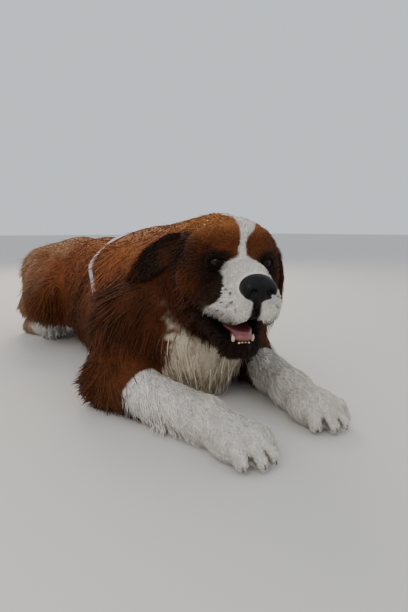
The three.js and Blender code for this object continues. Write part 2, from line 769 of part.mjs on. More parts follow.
const bothSides = (key) => sides.map(({ name }) => parts[`${key}_${name}`]);
const neckSkin = surfaceOf(throatField, point(-200, -500, -10), point(190, -60, 420), CELL.neck);
parts.neck = coated(
  offTorso(aboveFloor(cutTo(neckSkin, neckCut))), throatField, COAT.neck, lie.neck, 11,
  [...headNodes, parts.girth_strap],
  (p) => endsClear(p, lie.neck, COAT.neck, forequarters),
);
parts.neck = clearOf(parts.neck, bothSides("foreleg"));
const tailSkin = surfaceOf(tailField, point(-60, 560, -20), point(390, 830, 290), CELL.tail);
parts.tail = coated(
  offTorso(aboveFloor(cutTo(tailSkin, tailCut))), tailField, COAT.tail, lie.tail, 19,
  [...bothSides("hind_leg"), ...bothSides("hind_foot")],
);
const strapClear = (p) => Math.abs(p.y + 40) > 130 || p.z < 120;
const torsoClear = (p) => strapClear(p) && endsClear(p, lie.torso, COAT.torso, [...forequarters, ...hindquarters, tailField]);
parts.torso = coated(
  torsoCore, torsoField, COAT.torso, lie.torso, 5,
  [
    ...headNodes, parts.neck, parts.girth_strap, parts.tail,
    ...bothSides("foreleg"), ...bothSides("hind_leg"), ...bothSides("hind_foot"),
  ],
  torsoClear,
);

const saintBernard = new THREE.Group();
saintBernard.name = "saint_bernard";
for (const [name, solid] of Object.entries(parts)) {
  const mesh = solid.getMesh();
  const bare = new Float32Array(mesh.numVert * 3);
  for (let i = 0; i < mesh.numVert; i++) bare.set(mesh.vertProperties.subarray(i * mesh.numProp, i * mesh.numProp + 3), i * 3);
  const geometry = new THREE.BufferGeometry();
  geometry.setAttribute("position", new THREE.BufferAttribute(bare, 3));
  geometry.setIndex(new THREE.BufferAttribute(mesh.triVerts, 1));
  const node = new THREE.Mesh(geometry);
  node.name = name;
  saintBernard.add(node);
}

export default saintBernard;
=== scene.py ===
"""A lying long-coated Saint Bernard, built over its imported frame, with its coat as solid tufts."""

import math

import bpy
import numpy as np
import openvdb
from mathutils import Matrix, Vector
from mathutils.bvhtree import BVHTree
from mathutils.kdtree import KDTree


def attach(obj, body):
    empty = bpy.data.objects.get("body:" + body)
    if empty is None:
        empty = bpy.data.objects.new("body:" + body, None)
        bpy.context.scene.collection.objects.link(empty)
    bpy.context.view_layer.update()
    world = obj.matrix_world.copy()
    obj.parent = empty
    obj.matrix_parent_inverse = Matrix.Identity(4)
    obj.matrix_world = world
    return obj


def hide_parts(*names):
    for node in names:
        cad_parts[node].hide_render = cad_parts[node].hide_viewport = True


bl_info = {
    "name": "Lying Saint Bernard",
    "version": (1, 0, 0),
    "blender": (4, 5, 0),
    "location": "View3D > Sidebar > Saint Bernard",
    "description": "Builds a lying long-coated Saint Bernard over its packed frame",
    "category": "Object",
}

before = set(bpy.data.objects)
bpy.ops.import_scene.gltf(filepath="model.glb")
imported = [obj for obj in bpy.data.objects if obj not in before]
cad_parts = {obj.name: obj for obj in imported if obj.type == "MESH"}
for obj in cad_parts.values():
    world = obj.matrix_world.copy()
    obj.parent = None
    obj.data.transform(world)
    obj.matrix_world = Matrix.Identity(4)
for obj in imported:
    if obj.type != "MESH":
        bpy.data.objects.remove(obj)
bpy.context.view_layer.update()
MM = 0.001
SIDES = (("left", 1.0), ("right", -1.0))

# The head's own frame has its origin midway between the eyes, with -Y forward
HEAD_PLACE = (-42.0, -447.0, 323.0)
HEAD_TURN = (
    Matrix.Rotation(math.radians(-18.0), 3, "Z")
    @ Matrix.Rotation(math.radians(4.0), 3, "X")
    @ Matrix.Rotation(math.radians(2.5), 3, "Y")
)
HEAD_AXES = np.array(HEAD_TURN)
HEAD_ORIGIN = np.array(HEAD_PLACE) * MM

EYE_SPREAD = 46.0
EYE_RADIUS = 13.0
EYE_DEPTH = 8.0
LID_STEPS = 14
# How much further forward the right forepaw lies than the left one
RIGHT_REACH = 18.0
TOES = 4
# A paw's half width, half length and height, and its turn outward in degrees
FORE_PAW = (52, 66, 34, -6)
HIND_PAW = (43, 52, 31, 16)
TAIL_PATH = (
    (8, 615, 215), (24, 690, 150), (70, 742, 74), (150, 752, 44),
    (235, 716, 40), (300, 648, 34), (338, 566, 26),
)
TAIL_RADII = (44, 42, 42, 40, 36, 29, 16)


def linear(code):
    """A hex sRGB colour as three linear numbers."""
    values = [int(code[i : i + 2], 16) / 255 for i in (1, 3, 5)]
    return tuple(v / 12.92 if v <= 0.04045 else ((v + 0.055) / 1.055) ** 2.4 for v in values)


def to_head(p):
    """Places in the dog's frame as places in the head's frame, both in metres."""
    return (np.asarray(p) - HEAD_ORIGIN) @ HEAD_AXES


def from_head(p):
    """A place or places in the head's frame, in millimetres, as metres in the dog's frame."""
    return (np.asarray(p, float) * MM) @ HEAD_AXES.T + HEAD_ORIGIN


def unit(way):
    return way / np.linalg.norm(way)


# Shapes as signed distances

# Room round the shapes in the grid that their surface is read from, in metres
SURFACE_PAD = 0.012


class Mass:
    """An egg-shaped mass."""

    def __init__(self, centre, radii, axes=None):
        self.centre = np.array(centre, float) * MM
        self.radii = np.array(radii, float) * MM
        self.axes = axes

    def reach(self):
        r = self.radii if self.axes is None else np.full(3, self.radii.max())
        return self.centre - r, self.centre + r

    def distance(self, x, y, z):
        x, y, z = x - self.centre[0], y - self.centre[1], z - self.centre[2]
        if self.axes is not None:
            a = self.axes
            x, y, z = (x * a[0, i] + y * a[1, i] + z * a[2, i] for i in range(3))
        rx, ry, rz = self.radii
        scaled = np.sqrt((x / rx) ** 2 + (y / ry) ** 2 + (z / rz) ** 2)
        slope = np.sqrt((x / rx**2) ** 2 + (y / ry**2) ** 2 + (z / rz**2) ** 2) + 1e-6
        return scaled * (scaled - 1) / slope


class Limb:
    """A round limb that tapers from one end to the other."""

    def __init__(self, start, end, start_radius, end_radius):
        self.start = np.array(start, float) * MM
        self.along = np.array(end, float) * MM - self.start
        self.radii = start_radius * MM, end_radius * MM

    def reach(self):
        end = self.start + self.along
        r = max(self.radii)
        return np.minimum(self.start, end) - r, np.maximum(self.start, end) + r

    def distance(self, x, y, z):
        x, y, z = x - self.start[0], y - self.start[1], z - self.start[2]
        ax, ay, az = self.along
        t = np.clip((x * ax + y * ay + z * az) / (self.along @ self.along), 0, 1)
        away = np.sqrt((x - t * ax) ** 2 + (y - t * ay) ** 2 + (z - t * az) ** 2)
        return away - self.radii[0] - t * (self.radii[1] - self.radii[0])


def in_head(shapes):
    """The same shapes, moved from the head's frame to the dog's."""
    for shape, _ in shapes:
        if isinstance(shape, Mass):
            shape.centre = from_head(shape.centre / MM)
            shape.axes = HEAD_AXES
        else:
            end = from_head((shape.start + shape.along) / MM)
            shape.start = from_head(shape.start / MM)
            shape.along = end - shape.start
    return shapes


def blended(d, e, softness):
    """Two distances joined softly where they are close; a negative softness carves the second out."""
    side, soft = math.copysign(1, softness), abs(softness) * MM
    d = d * side
    h = np.clip(soft - np.abs(d - e), 0, None) / soft
    return side * (np.minimum(d, e) - h * h * soft / 4)


def field_at(shapes, p):
    """The distance of places to shapes that are grown together."""
    d = np.full(len(p), 1.0)
    for shape, soft in shapes:
        d = blended(d, shape.distance(p[:, 0], p[:, 1], p[:, 2]), soft)
    return d


def surface(shapes, cell):
    """The closed surface of shapes as points and faces."""
    reaches = [shape.reach() for shape, soft in shapes if soft > 0]
    low = np.min([r[0] for r in reaches], axis=0) - SURFACE_PAD
    high = np.max([r[1] for r in reaches], axis=0) + SURFACE_PAD
    axes = [np.arange(low[i], high[i] + cell, cell, dtype=np.float32) for i in range(3)]
    d = np.full([len(a) for a in axes], 1.0, np.float32)
    for shape, soft in shapes:
        near, far = shape.reach()
        margin = abs(soft) * MM + 0.02
        parts = [
            slice(*np.searchsorted(axes[i], (near[i] - margin, far[i] + margin))) for i in range(3)
        ]
        x, y, z = np.meshgrid(*[axes[i][parts[i]] for i in range(3)], indexing="ij", sparse=True)
        e = shape.distance(x, y, z).astype(np.float32)
        d[tuple(parts)] = blended(d[tuple(parts)], e, soft)
    grid = openvdb.FloatGrid(1.0)
    grid.copyFromArray(d)
    points, triangles, quads = grid.convertToPolygons(0.0, 0.0)
    return points * cell + low, [tuple(f[::-1]) for f in triangles] + [tuple(f[::-1]) for f in quads]


def right_reach(s):
    return -RIGHT_REACH if s < 0 else 0


def paws(s):
    """The places and sizes of a side's forepaw and hind paw."""
    return ((s * 106, -512 + right_reach(s), 32), FORE_PAW), ((s * 106, 505, 29), HIND_PAW)


def trunk_shapes():
    """The body with its legs, paws, tail and neck."""
    shapes = [
        (Mass((0, -30, 170), (158, 262, 188)), 60),
        (Mass((0, -85, 280), (88, 140, 82)), 60),
        (Mass((-4, -262, 150), (126, 88, 130)), 60),
        (Mass((0, 190, 118), (112, 225, 122)), 60),
        (Mass((0, 235, 195), (124, 230, 161)), 60),
        (Mass((0, 470, 200), (138, 180, 154)), 60),
        (Mass((0, 560, 135), (105, 98, 112)), 60),
    ]
    for _, s in SIDES:
        forepaw, hind_paw = (centre for centre, _ in paws(s))
        shoulder = (s * 138, -212, 182)
        elbow = (s * 186, -200, 60)
        wrist = (s * 121, -432 + right_reach(s), 43)
        shapes += [
            (Limb((s * 92, -70, 280), shoulder, 70, 72), 45),
            (Limb(shoulder, elbow, 72, 60), 45),
            (Limb(elbow, wrist, 53, 36), 36),
            (Limb(wrist, forepaw, 38, 34), 22),
            (Limb((s * 108, 490, 232), (s * 150, 365, 158), 92, 62), 45),
            (Limb((s * 150, 365, 158), (s * 150, 615, 106), 58, 42), 45),
            (Mass((s * 112, 560, 175), (62, 92, 105)), 45),
            (Limb((s * 148, 623, 30), hind_paw, 32, 30), 16),
        ]
        for centre, sizes in paws(s):
            shapes += paw_shapes(centre, s, *sizes)
    for i in range(len(TAIL_PATH) - 1):
        shapes.append((Limb(TAIL_PATH[i], TAIL_PATH[i + 1], TAIL_RADII[i], TAIL_RADII[i + 1]), 26))
    head_base = from_head((0, 104, -22)) / MM
    throat = from_head((0, 70, -84)) / MM
    shapes.append((Limb((0, -120, 252), head_base, 133, 103), 40))
    shapes.append((Limb((-4, -225, 165), throat, 112, 66), 40))
    return shapes


def toe_spots(centre, s, half_width, half_length, height, heading):
    """The root and tip of each toe, in the dog's frame."""
    turn = math.radians(heading * s)
    c, n = math.cos(turn), math.sin(turn)
    spots = []
    for i in range(TOES):
        across = (i - (TOES - 1) / 2) / ((TOES - 1) / 2)
        reach = half_length * (0.98 - 0.34 * across * across)
        ends = (
            (across * half_width * 0.52, -half_length * 0.25, height * 0.12),
            (across * half_width * 0.7, -reach, -height * 0.32),
        )
        spots.append([
            (centre[0] + c * x - n * y, centre[1] + n * x + c * y, centre[2] + z) for x, y, z in ends
        ])
    return spots


def paw_shapes(centre, s, half_width, half_length, height, heading):
    """A paw's pad and its toes, with grooves carved between them."""
    turn = np.array(Matrix.Rotation(math.radians(heading * s), 3, "Z"))
    shapes = [(Mass(centre, (half_width * 0.94, half_length * 0.9, height), turn), 10)]
    spots = toe_spots(centre, s, half_width, half_length, height, heading)
    for root, tip in spots:
        middle = (np.array(root) + tip) / 2 + (0, 0, height * 0.28)
        shapes.append((Limb(root, middle, half_width * 0.28, half_width * 0.27), 8))
        shapes.append((Limb(middle, tip, half_width * 0.27, half_width * 0.22), 5))
    return shapes + toe_gaps(spots, height)


def toe_gaps(spots, height):
    """The grooves between neighbouring toes."""
    gaps = []
    for i in range(TOES - 1):
        root = (np.array(spots[i][0]) + spots[i + 1][0]) / 2 + (0, 0, height * 0.75)
        tip = (np.array(spots[i][1]) + spots[i + 1][1]) / 2 + (0, 0, height * 0.1)
        gaps.append((Limb(root, tip + (tip - root) * 0.35, 2.5, 5.5), -6))
    return gaps


def toe_gap_shade_fronts():
    """The front halves of all the grooves between toes, where painted shade darkens the fur."""
    gaps = []
    for _, s in SIDES:
        for centre, sizes in paws(s):
            gaps += toe_gaps(toe_spots(centre, s, *sizes), sizes[2])
    fronts = []
    for gap, _ in gaps:
        start, end = gap.start / MM, (gap.start + gap.along) / MM
        fronts.append((Limb(start * 0.45 + end * 0.55, end, 2.5, 5.5), 1))
    return fronts


def head_shapes():
    """The skull, brow, cheeks and muzzle, with the mouth carved out."""
    shapes = [
        (Mass((0, 72, 12), (82, 96, 66)), 26),
        (Mass((0, 22, 26), (60, 42, 44)), 26),
        (Limb((0, 4, -12), (0, -66, -22), 34, 28), 26),
        (Mass((0, -44, -50), (46, 50, 38)), 26),
    ]
    for _, s in SIDES:
        shapes += [
            (Mass((s * 60, 58, -34), (40, 66, 56)), 26),
            (Limb((s * 30, 6, 18), (s * 54, 30, 22), 23, 24), 26),
            (Limb((s * 25, -66, -62), (s * 40, 0, -72), 29, 28), 22),
            (Mass((s * 29, -54, -76), (20, 36, 19)), 16),
        ]
    shapes += [
        (Mass((0, -50, -110), (36, 56, 31)), -8),
        (Mass((0, 8, -106), (44, 48, 25)), -8),
        (Limb((0, -104, -50), (0, -98, -82), 3, 5), -8),
        (Limb((0, 30, 84), (0, -6, 34), 2, 3), -14),
    ]
    return in_head(shapes)


def jaw_shapes():
    shapes = [(Mass((0, -38, -152), (28, 25, 15)), 14), (Mass((0, 14, -137), (40, 60, 16)), 14)]
    for _, s in SIDES:
        shapes.append((Limb((s * 44, 44, -102), (s * 20, -38, -149), 17, 13), 14))
        shapes.append((Limb((s * 50, 14, -110), (s * 30, -38, -137), 6, 6), 7))
    shapes.append((Limb((-30, -38, -137), (0, -63, -143), 6, 6), 7))
    shapes.append((Limb((30, -38, -137), (0, -63, -143), 6, 6), 7))
    return in_head(shapes)


def tongue_shapes():
    shapes = [
        (Mass((0, -10, -116), (24, 54, 9)), 8),
        (Mass((0, -44, -127), (20, 20, 8)), 8),
        (Limb((0, 20, -105), (0, -52, -118), 1.5, 1), -5),
    ]
    return in_head(shapes)


def nose_shapes():
    shapes = [(Mass((0, -92, -30), (31, 22, 23)), 6), (Limb((0, -96, -46), (0, -94, -60), 9, 5), 8)]
    for _, s in SIDES:
        shapes += [
            (Mass((s * 17, -103, -32), (13, 11, 14)), 6),
            (Mass((s * 14, -116, -34), (6.5, 9, 5.5)), -4),
            (Limb((s * 18, -112, -38), (s * 28, -98, -44), 2, 3), -4),
        ]
    shapes.append((Limb((0, -116, -28), (0, -108, -60), 1, 1.5), -4))
    return in_head(shapes)


TRUNK = trunk_shapes()
TOE_GAP_SHADE = toe_gap_shade_fronts()
# The forms that the strap lies on
STRAPPED = TRUNK[:7] + [(Limb((s * 84, -60, 270), (s * 128, -190, 190), 68, 62), 45) for _, s in SIDES]
HEAD = head_shapes()
JAW = jaw_shapes()

# Small pieces of meshes and materials


def placed(name, mesh, material):
    """A mesh as an object at the origin, with its material."""
    mesh.materials.append(material)
    made = bpy.data.objects.new(name, mesh)
    bpy.context.scene.collection.objects.link(made)
    return made


def mesh_object(name, points, faces, material, smooth=True):
    """A mesh from points in metres, at the origin."""
    mesh = bpy.data.meshes.new(name)
    mesh.from_pydata(np.asarray(points).tolist(), [], faces)
    mesh.update()
    if smooth:
        mesh.polygons.foreach_set("use_smooth", np.ones(len(mesh.polygons), bool))
    return placed(name, mesh, material)


def paint(obj, colours):
    """A colour at each point, for the materials that read it."""
    layer = obj.data.color_attributes.new("coat_colour", "FLOAT_COLOR", "POINT")
    rgba = np.ones((len(colours), 4), np.float32)
    rgba[:, :3] = colours
    layer.data.foreach_set("color", rgba.ravel())


def adjust(node, **settings):
    """Sets a node's properties or its sockets."""
    for key, value in settings.items():
        if hasattr(node, key):
            setattr(node, key, value)
        else:
            node.inputs[key.replace("_", " ")].default_value = value
    return node


def add_node(tree, kind, **settings):
    return adjust(tree.nodes.new(kind), **settings)


def join(tree, *links):
    """Links a node's output to another node's input, for each row of links."""
    for start, output, end, socket in links:
        tree.links.new(start.outputs[output], end.inputs[socket])


def new_material(name):
    """A material with its node tree and its shader."""
    material = bpy.data.materials.new(name)
    material.use_nodes = True
    return material, material.node_tree, material.node_tree.nodes["Principled BSDF"]


def plain_material(name, colour, roughness, coat=0.0, bump=0.0, bump_scale=300.0, specular=0.5):
    """A finish with one colour and, where asked, a fine bump."""
    material, tree, shader = new_material(name)
    adjust(shader, Base_Color=(*colour, 1), Roughness=roughness, Specular_IOR_Level=specular)
    adjust(shader, Coat_Weight=coat, Coat_Roughness=0.08)
    if bump:
        place = add_node(tree, "ShaderNodeTexCoord")
        cells = add_node(tree, "ShaderNodeTexVoronoi", Scale=bump_scale)
        raised = add_node(tree, "ShaderNodeBump", Strength=bump, Distance=0.001)
        join(
            tree,
            (place, "Object", cells, "Vector"),
            (cells, "Distance", raised, "Height"),
            (raised, "Normal", shader, "Normal"),
        )
    return material


def hair_material(name, roughness, speckle):
    """Hair coloured by its own attribute, with a fine uneven shade."""
    material, tree, shader = new_material(name)
    colour = add_node(tree, "ShaderNodeAttribute", attribute_name="coat_colour")
    place = add_node(tree, "ShaderNodeTexCoord")
    noise = add_node(tree, "ShaderNodeTexNoise", Scale=speckle, Detail=3)
    uneven = add_node(tree, "ShaderNodeMapRange", To_Min=0.72, To_Max=1.25)
    shade = add_node(tree, "ShaderNodeVectorMath", operation="SCALE")
    raised = add_node(tree, "ShaderNodeBump", Strength=0.5, Distance=0.001)
    join(
        tree,
        (place, "Object", noise, "Vector"),
        (noise, "Fac", uneven, "Value"),
        (colour, "Color", shade, 0),
        (uneven, "Result", shade, "Scale"),
        (shade, "Vector", shader, "Base Color"),
        (noise, "Fac", raised, "Height"),
        (raised, "Normal", shader, "Normal"),
    )
    adjust(shader, Roughness=roughness, Specular_IOR_Level=0.04)
    adjust(shader, Sheen_Weight=0.08, Sheen_Roughness=0.4, Sheen_Tint=(1.0, 0.78, 0.6, 1))
    return material


def keep(obj, slot_name, *nodes):
    """Puts a piece on the body, in place of nodes of the frame; its slot name is not used."""
    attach(obj, "root")
    if nodes:
        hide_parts(*nodes)
    return obj


# The coat's colours

def ramp(x, start, end):
    """A soft step from 0 at the start to 1 at the end."""
    t = np.clip((x - start) / (end - start), 0, 1)
    return t * t * (3 - 2 * t)


def wander(p, scale, seed):
    """Smooth uneven numbers from -1 to 1 over space, in a few octaves."""
    random = np.random.RandomState(seed)
    total = np.zeros(len(p))
    for octave in range(6):
        way = random.normal(size=3)
        way *= 2 * math.pi * scale * (0.7 + 0.35 * octave) / np.linalg.norm(way)
        total += np.sin(p @ way + random.uniform(0, 6.28)) / (1 + 0.3 * octave)
    return total / 2.6


def mixed(base, colour, amount):
    """Colours with a share of another colour laid over them."""
    amount = np.clip(amount, 0, 1)[:, None]
    return base * (1 - amount) + np.array(colour) * amount


def markings(p):
    """The colour of the coat at places in the dog's frame, in linear numbers, with painted shade low on the
    body, in the bib and between the toes, and painted light along the back.
    """
    settings = bpy.context.scene.bernard_coat
    rust, tan, white, dark = (tuple(getattr(settings, name)) for name in ("rust", "tan", "white", "dark"))
    x, y, z = p.T / MM
    uneven = wander(p, 9, 3)
    fine = wander(p, 32, 5)
    out = np.tile(rust, (len(p), 1))
    # Painted shade: darker brown in random patches, which also grows low on the body to stand for shade
    # there
    out = mixed(out, linear("#4A2812"), 0.5 + 0.5 * uneven - ramp(z, 180, 330))
    # Painted light: a lighter orange along the top of the back, with a little random variation
    out = mixed(out, linear("#A3683C"), 0.55 * ramp(z, 260, 350) + 0.15 * fine)
    out = mixed(out, tan, ramp(y + 45 * uneven, 320, 510) * (0.62 + 0.35 * ramp(np.abs(x), 40, 150)))
    out = mixed(out, linear("#CDB595"), ramp(y + 30 * uneven, 560, 650) * ramp(300 - z, 0, 150))
    h = to_head(p) / MM
    _, hy, hz = h.T
    ruff = ramp(hy, 40, 90) * ramp(250 - hy + 30 * uneven, 0, 60)
    ruff *= ramp(10 - hz + 20 * uneven, 0, 60)
    ruff *= 0.3 + 0.7 * ramp(hz + 30 * uneven, -235, -120)
    out = mixed(out, linear("#2F170D"), 0.75 * ruff)
    fore_line = -y + 0.05 * (70 - z) + 8 * uneven + 5 * fine
    out = mixed(out, white, ramp(fore_line, 300, 310) * ramp(135 - z + 8 * fine, 0, 22))
    bib_side = np.abs(x + 6) + 20 * uneven + 14 * fine
    bib = ramp(-y + 20 * fine, 205, 255) * ramp(112 - bib_side, 0, 26)
    bib *= ramp(262 - z + 18 * uneven, 0, 45)
    bib *= ramp(400 + y, 0, 20)
    out = mixed(out, linear("#DED0B8"), bib)
    # Painted shade: darker brown streaks in the bib stand for shade between its hanging wisps
    wisp_painted_shade = ramp(wander(p * (1, 1, 0.3), 42, 12), 0.1, 0.8)
    out = mixed(out, linear("#9C7C5A"), 0.45 * wisp_painted_shade * bib)
    # Painted shade: the fur is painted darker in the front halves of the grooves between the toes
    out = mixed(out, linear("#6B5A4C"), 0.8 * ramp(0.005 - field_at(TOE_GAP_SHADE, p), 0, 0.005))
    hind = ramp(-y + 12 * fine, -600, -560) * ramp(85 - z, 0, 22)
    hind *= ramp(y, 400, 420)
    hind *= ramp(np.abs(x), 40, 60)
    out = mixed(out, white, hind)
    tail_tip = ramp(x, 280, 310) * ramp(y, 500, 540)
    out = mixed(out, white, tail_tip)
    near = ramp(175 - np.linalg.norm(h - (0, 30, -20), axis=1), 0, 30)
    face = face_markings(h, uneven, fine, rust, white, dark)
    out = out * (1 - near[:, None]) + face * near[:, None]
    chin = ramp(0.018 + 0.002 * fine - field_at(JAW, p), 0, 0.008) * ramp(64 - hy, 0, 30)
    return mixed(out, dark, chin * ramp(-100 - hz, 0, 8))


# Heights on the muzzle's sides with how far back the white reaches there, in the head's frame
MUZZLE_EDGE = (
    (-110, -4), (-88, -10), (-76, -28), (-62, -60), (-46, -72), (-32, -58), (-19, -36), (-4, -30),
)
# Dark freckles on the muzzle: their places round it, their heights and their widths
FRECKLES = (
    (-37, -42, 3.4), (-35, -54, 4.0), (-45, -37, 3.0), (-41, -62, 2.8), (-50, -57, 2.6), (-29, -66, 3.0),
    (-58, -74, 3.2), (-46, -76, 2.6), (36, -46, 3.4), (46, -58, 2.8), (32, -62, 3.2), (55, -68, 2.8),
)


def face_markings(h, uneven, fine, rust, white, dark):
    """The face's colours at places in the head's frame: mask, blaze, muzzle and lips, with painted light on
    top of the head and painted shade on its sides.
    """
    hx, hy, hz = h.T
    side = np.abs(hx)
    face = np.tile(rust, (len(h), 1))
    # Painted light: the top of the head is painted a lighter gold
    face = mixed(face, linear("#B87A42"), ramp(hz + 0.2 * hy, 28, 78) * (0.75 + 0.25 * fine))
    face = mixed(face, linear("#5F3318"), 0.75 * ramp(62 - hz - 0.2 * hy + 8 * uneven, 0, 30))
    shadow = ramp(side + 0.5 * hy + 8 * uneven, 34, 64) * ramp(46 - hz + 6 * fine, 0, 40)
    face = mixed(face, linear("#3B1D10"), 0.85 * shadow)
    ear_dark = ramp(46 + 6 * uneven - np.hypot((hy - 76) * 0.8, hz - 12), 0, 20) * ramp(side, 54, 70)
    face = mixed(face, dark, 0.92 * ear_dark)
    cheek = ramp(34 - np.hypot((hy - 34) * 0.8, hz + 44), 0, 26) * ramp(side, 50, 66)
    face = mixed(face, linear("#6E3717"), 0.6 * cheek)
    round_eye = np.hypot((side - 46) * 0.85, (hz + 6) * 0.9)
    face = mixed(face, dark, 0.96 * ramp(30 + 5 * fine + 3 * uneven - round_eye, 0, 13))
    corner = np.hypot(side - 30, hz + 16)
    face = mixed(face, dark, 0.92 * ramp(26 + 3 * fine - corner, 0, 10))
    strip = np.abs(hy + 24 - 0.05 * hz) - 4 * fine
    patch = ramp(58 - strip, 0, 15) * ramp(78 + 6 * uneven - side, 0, 18)
    patch *= ramp(-4 - hz, 0, 12)
    patch *= ramp(hz, -112, -96)
    face = mixed(face, dark, 0.95 * patch)
    jowl = 0.9 * ramp(-84 - hz + 5 * fine, 0, 14) * ramp(hy + 20, 0, 30)
    face = mixed(face, dark, jowl * ramp(76 - hy, 0, 30))
    crown = 8 + 20 * ramp(hz + 0.35 * hy, 24, 95)
    muzzle = 8 + 28 * ramp(-hz, -18, 6)
    middle = (24 * ramp(hz + 0.35 * hy, 10, 90) - 7) * ramp(hz, -34, -10)
    blaze = ramp(np.maximum(crown, muzzle) + 2 * fine - np.abs(hx - middle), 0, 5) * ramp(112 - hy, 0, 18)
    blaze *= np.maximum(ramp(hz, -30, -10), ramp(-hy, 0, 10))
    above_lip = ramp(hz, -108, -100)
    face = mixed(face, white, blaze * above_lip)
    edge = np.interp(hz, *np.array(MUZZLE_EDGE).T)
    muzzle_side = ramp(edge - hy + 3 * fine, -4, 4) * ramp(-hz, 8, 20) * above_lip
    face = mixed(face, white, muzzle_side)
    flew = ramp(-hz + 4 * fine, 70, 84) * ramp(-hy + 4 * fine, 4, 20) * above_lip
    face = mixed(face, linear("#A39A94"), 0.85 * flew * ramp(side, 26, 40))
    around = 90 * np.arctan2(hx, 10 - hy)
    for place, height, wide in FRECKLES:
        apart = np.hypot(around - place, hz - height)
        face = mixed(face, linear("#2F2825"), 0.85 * ramp(wide + fine - apart, 0, 2) * ramp(-hy, 20, 30))
    philtrum = ramp(11 - side, 0, 5) * ramp(-hz + 2 * fine, 48, 56) * ramp(-hy, 78, 88)
    face = mixed(face, linear("#141212"), philtrum)
    lip = ramp(-hz + 3 * fine, 85, 94) * ramp(hz, -116, -110)
    return mixed(face, linear("#2A2322"), 0.85 * lip * ramp(-hy, -40, 10))


def ear_colours(p):
    """Dark ears, browner toward their edges and tips."""
    settings = bpy.context.scene.bernard_coat
    h = to_head(p) / MM
    brown = ramp(h[:, 1] + 14 * wander(p, 14, 4), 128, 175) + ramp(-h[:, 2] + 14 * wander(p, 14, 6), 50, 95)
    brown += 0.7 * ramp(110 - h[:, 1] + 12 * wander(p, 20, 8), 0, 30)
    return mixed(np.tile(settings.dark, (len(p), 1)), linear("#5A3018"), 0.75 * brown)


# Where the coat lies: a place, the way the hair runs, its length and how far it stands off.
# Lengths are in millimetres, and a row off the middle counts for both sides.
BODY_LIE = (
    ((0, -60, 355), (0, 1, -0.1), 62, 0.3),
    ((0, 150, 355), (0, 1, -0.06), 56, 0.28),
    ((0, 350, 352), (0, 1, -0.1), 55, 0.28),
    ((0, 520, 335), (0, 1, -0.4), 62, 0.3),
    ((80, 420, 330), (0.4, 0.8, -0.4), 60, 0.3),
    ((80, 100, 330), (0.5, 0.8, -0.4), 60, 0.3),
    ((150, -50, 220), (0.1, 0.5, -0.85), 78, 0.3),
    ((125, 200, 170), (0, 0.5, -0.85), 82, 0.3),
    ((110, 150, 60), (0.1, 0.55, -0.8), 72, 0.25),
    ((190, 400, 220), (0.05, 0.5, -0.85), 74, 0.3),
    ((200, 420, 110), (0.05, 0.75, -0.6), 66, 0.3),
    ((150, 590, 200), (0.05, 0.55, -0.85), 92, 0.35),
    ((60, 655, 190), (0.05, 0.3, -0.95), 96, 0.35),
    ((150, 600, 110), (0.1, 0.5, -0.8), 60, 0.35),
    ((150, 640, 50), (0, 0.2, -0.6), 30, 0.2),
    ((150, 560, 60), (0, -0.9, -0.4), 22, 0.15),
    ((106, 500, 60), (0, -1, -0.3), 13, 0.12),
    ((106, 455, 40), (0, -1, -0.6), 9, 0.12),
    ((160, -180, 270), (0.1, 0.35, -0.95), 84, 0.3),
    ((190, -230, 150), (0.05, 0.35, -0.9), 66, 0.24),
    ((215, -190, 60), (0.05, 0.85, -0.3), 52, 0.24),
    ((170, -130, 70), (0.1, 0.8, -0.45), 70, 0.28),
    ((165, -290, 100), (0, -0.75, -0.45), 40, 0.25),
    ((175, -310, 50), (0.25, -0.5, -0.7), 46, 0.34),
    ((150, -380, 25), (0.5, -0.35, -0.6), 56, 0.4),
    ((128, -400, 85), (-0.05, -1, -0.2), 22, 0.15),
    ((100, -380, 50), (-0.3, -0.8, -0.5), 30, 0.3),
    ((112, -470, 70), (-0.05, -1, -0.25), 15, 0.12),
    ((106, -540, 60), (0, -1, -0.5), 10, 0.1),
    ((106, -580, 35), (0, -0.8, -0.8), 7, 0.1),
    ((0, -350, 230), (0, -0.25, -1), 110, 0.35),
    ((0, -345, 150), (0, -0.35, -1), 105, 0.35),
    ((60, -320, 90), (0.1, -0.3, -1), 84, 0.35),
    ((80, -330, 260), (0.3, 0.1, -0.95), 105, 0.38),
    ((125, -280, 240), (0.3, 0.3, -0.95), 95, 0.35),
    ((130, -260, 330), (0.5, 0.5, -0.7), 96, 0.38),
    ((0, -230, 405), (0, 1, -0.2), 76, 0.44),
    ((-4, -160, 395), (0, 1, -0.25), 76, 0.4),
)
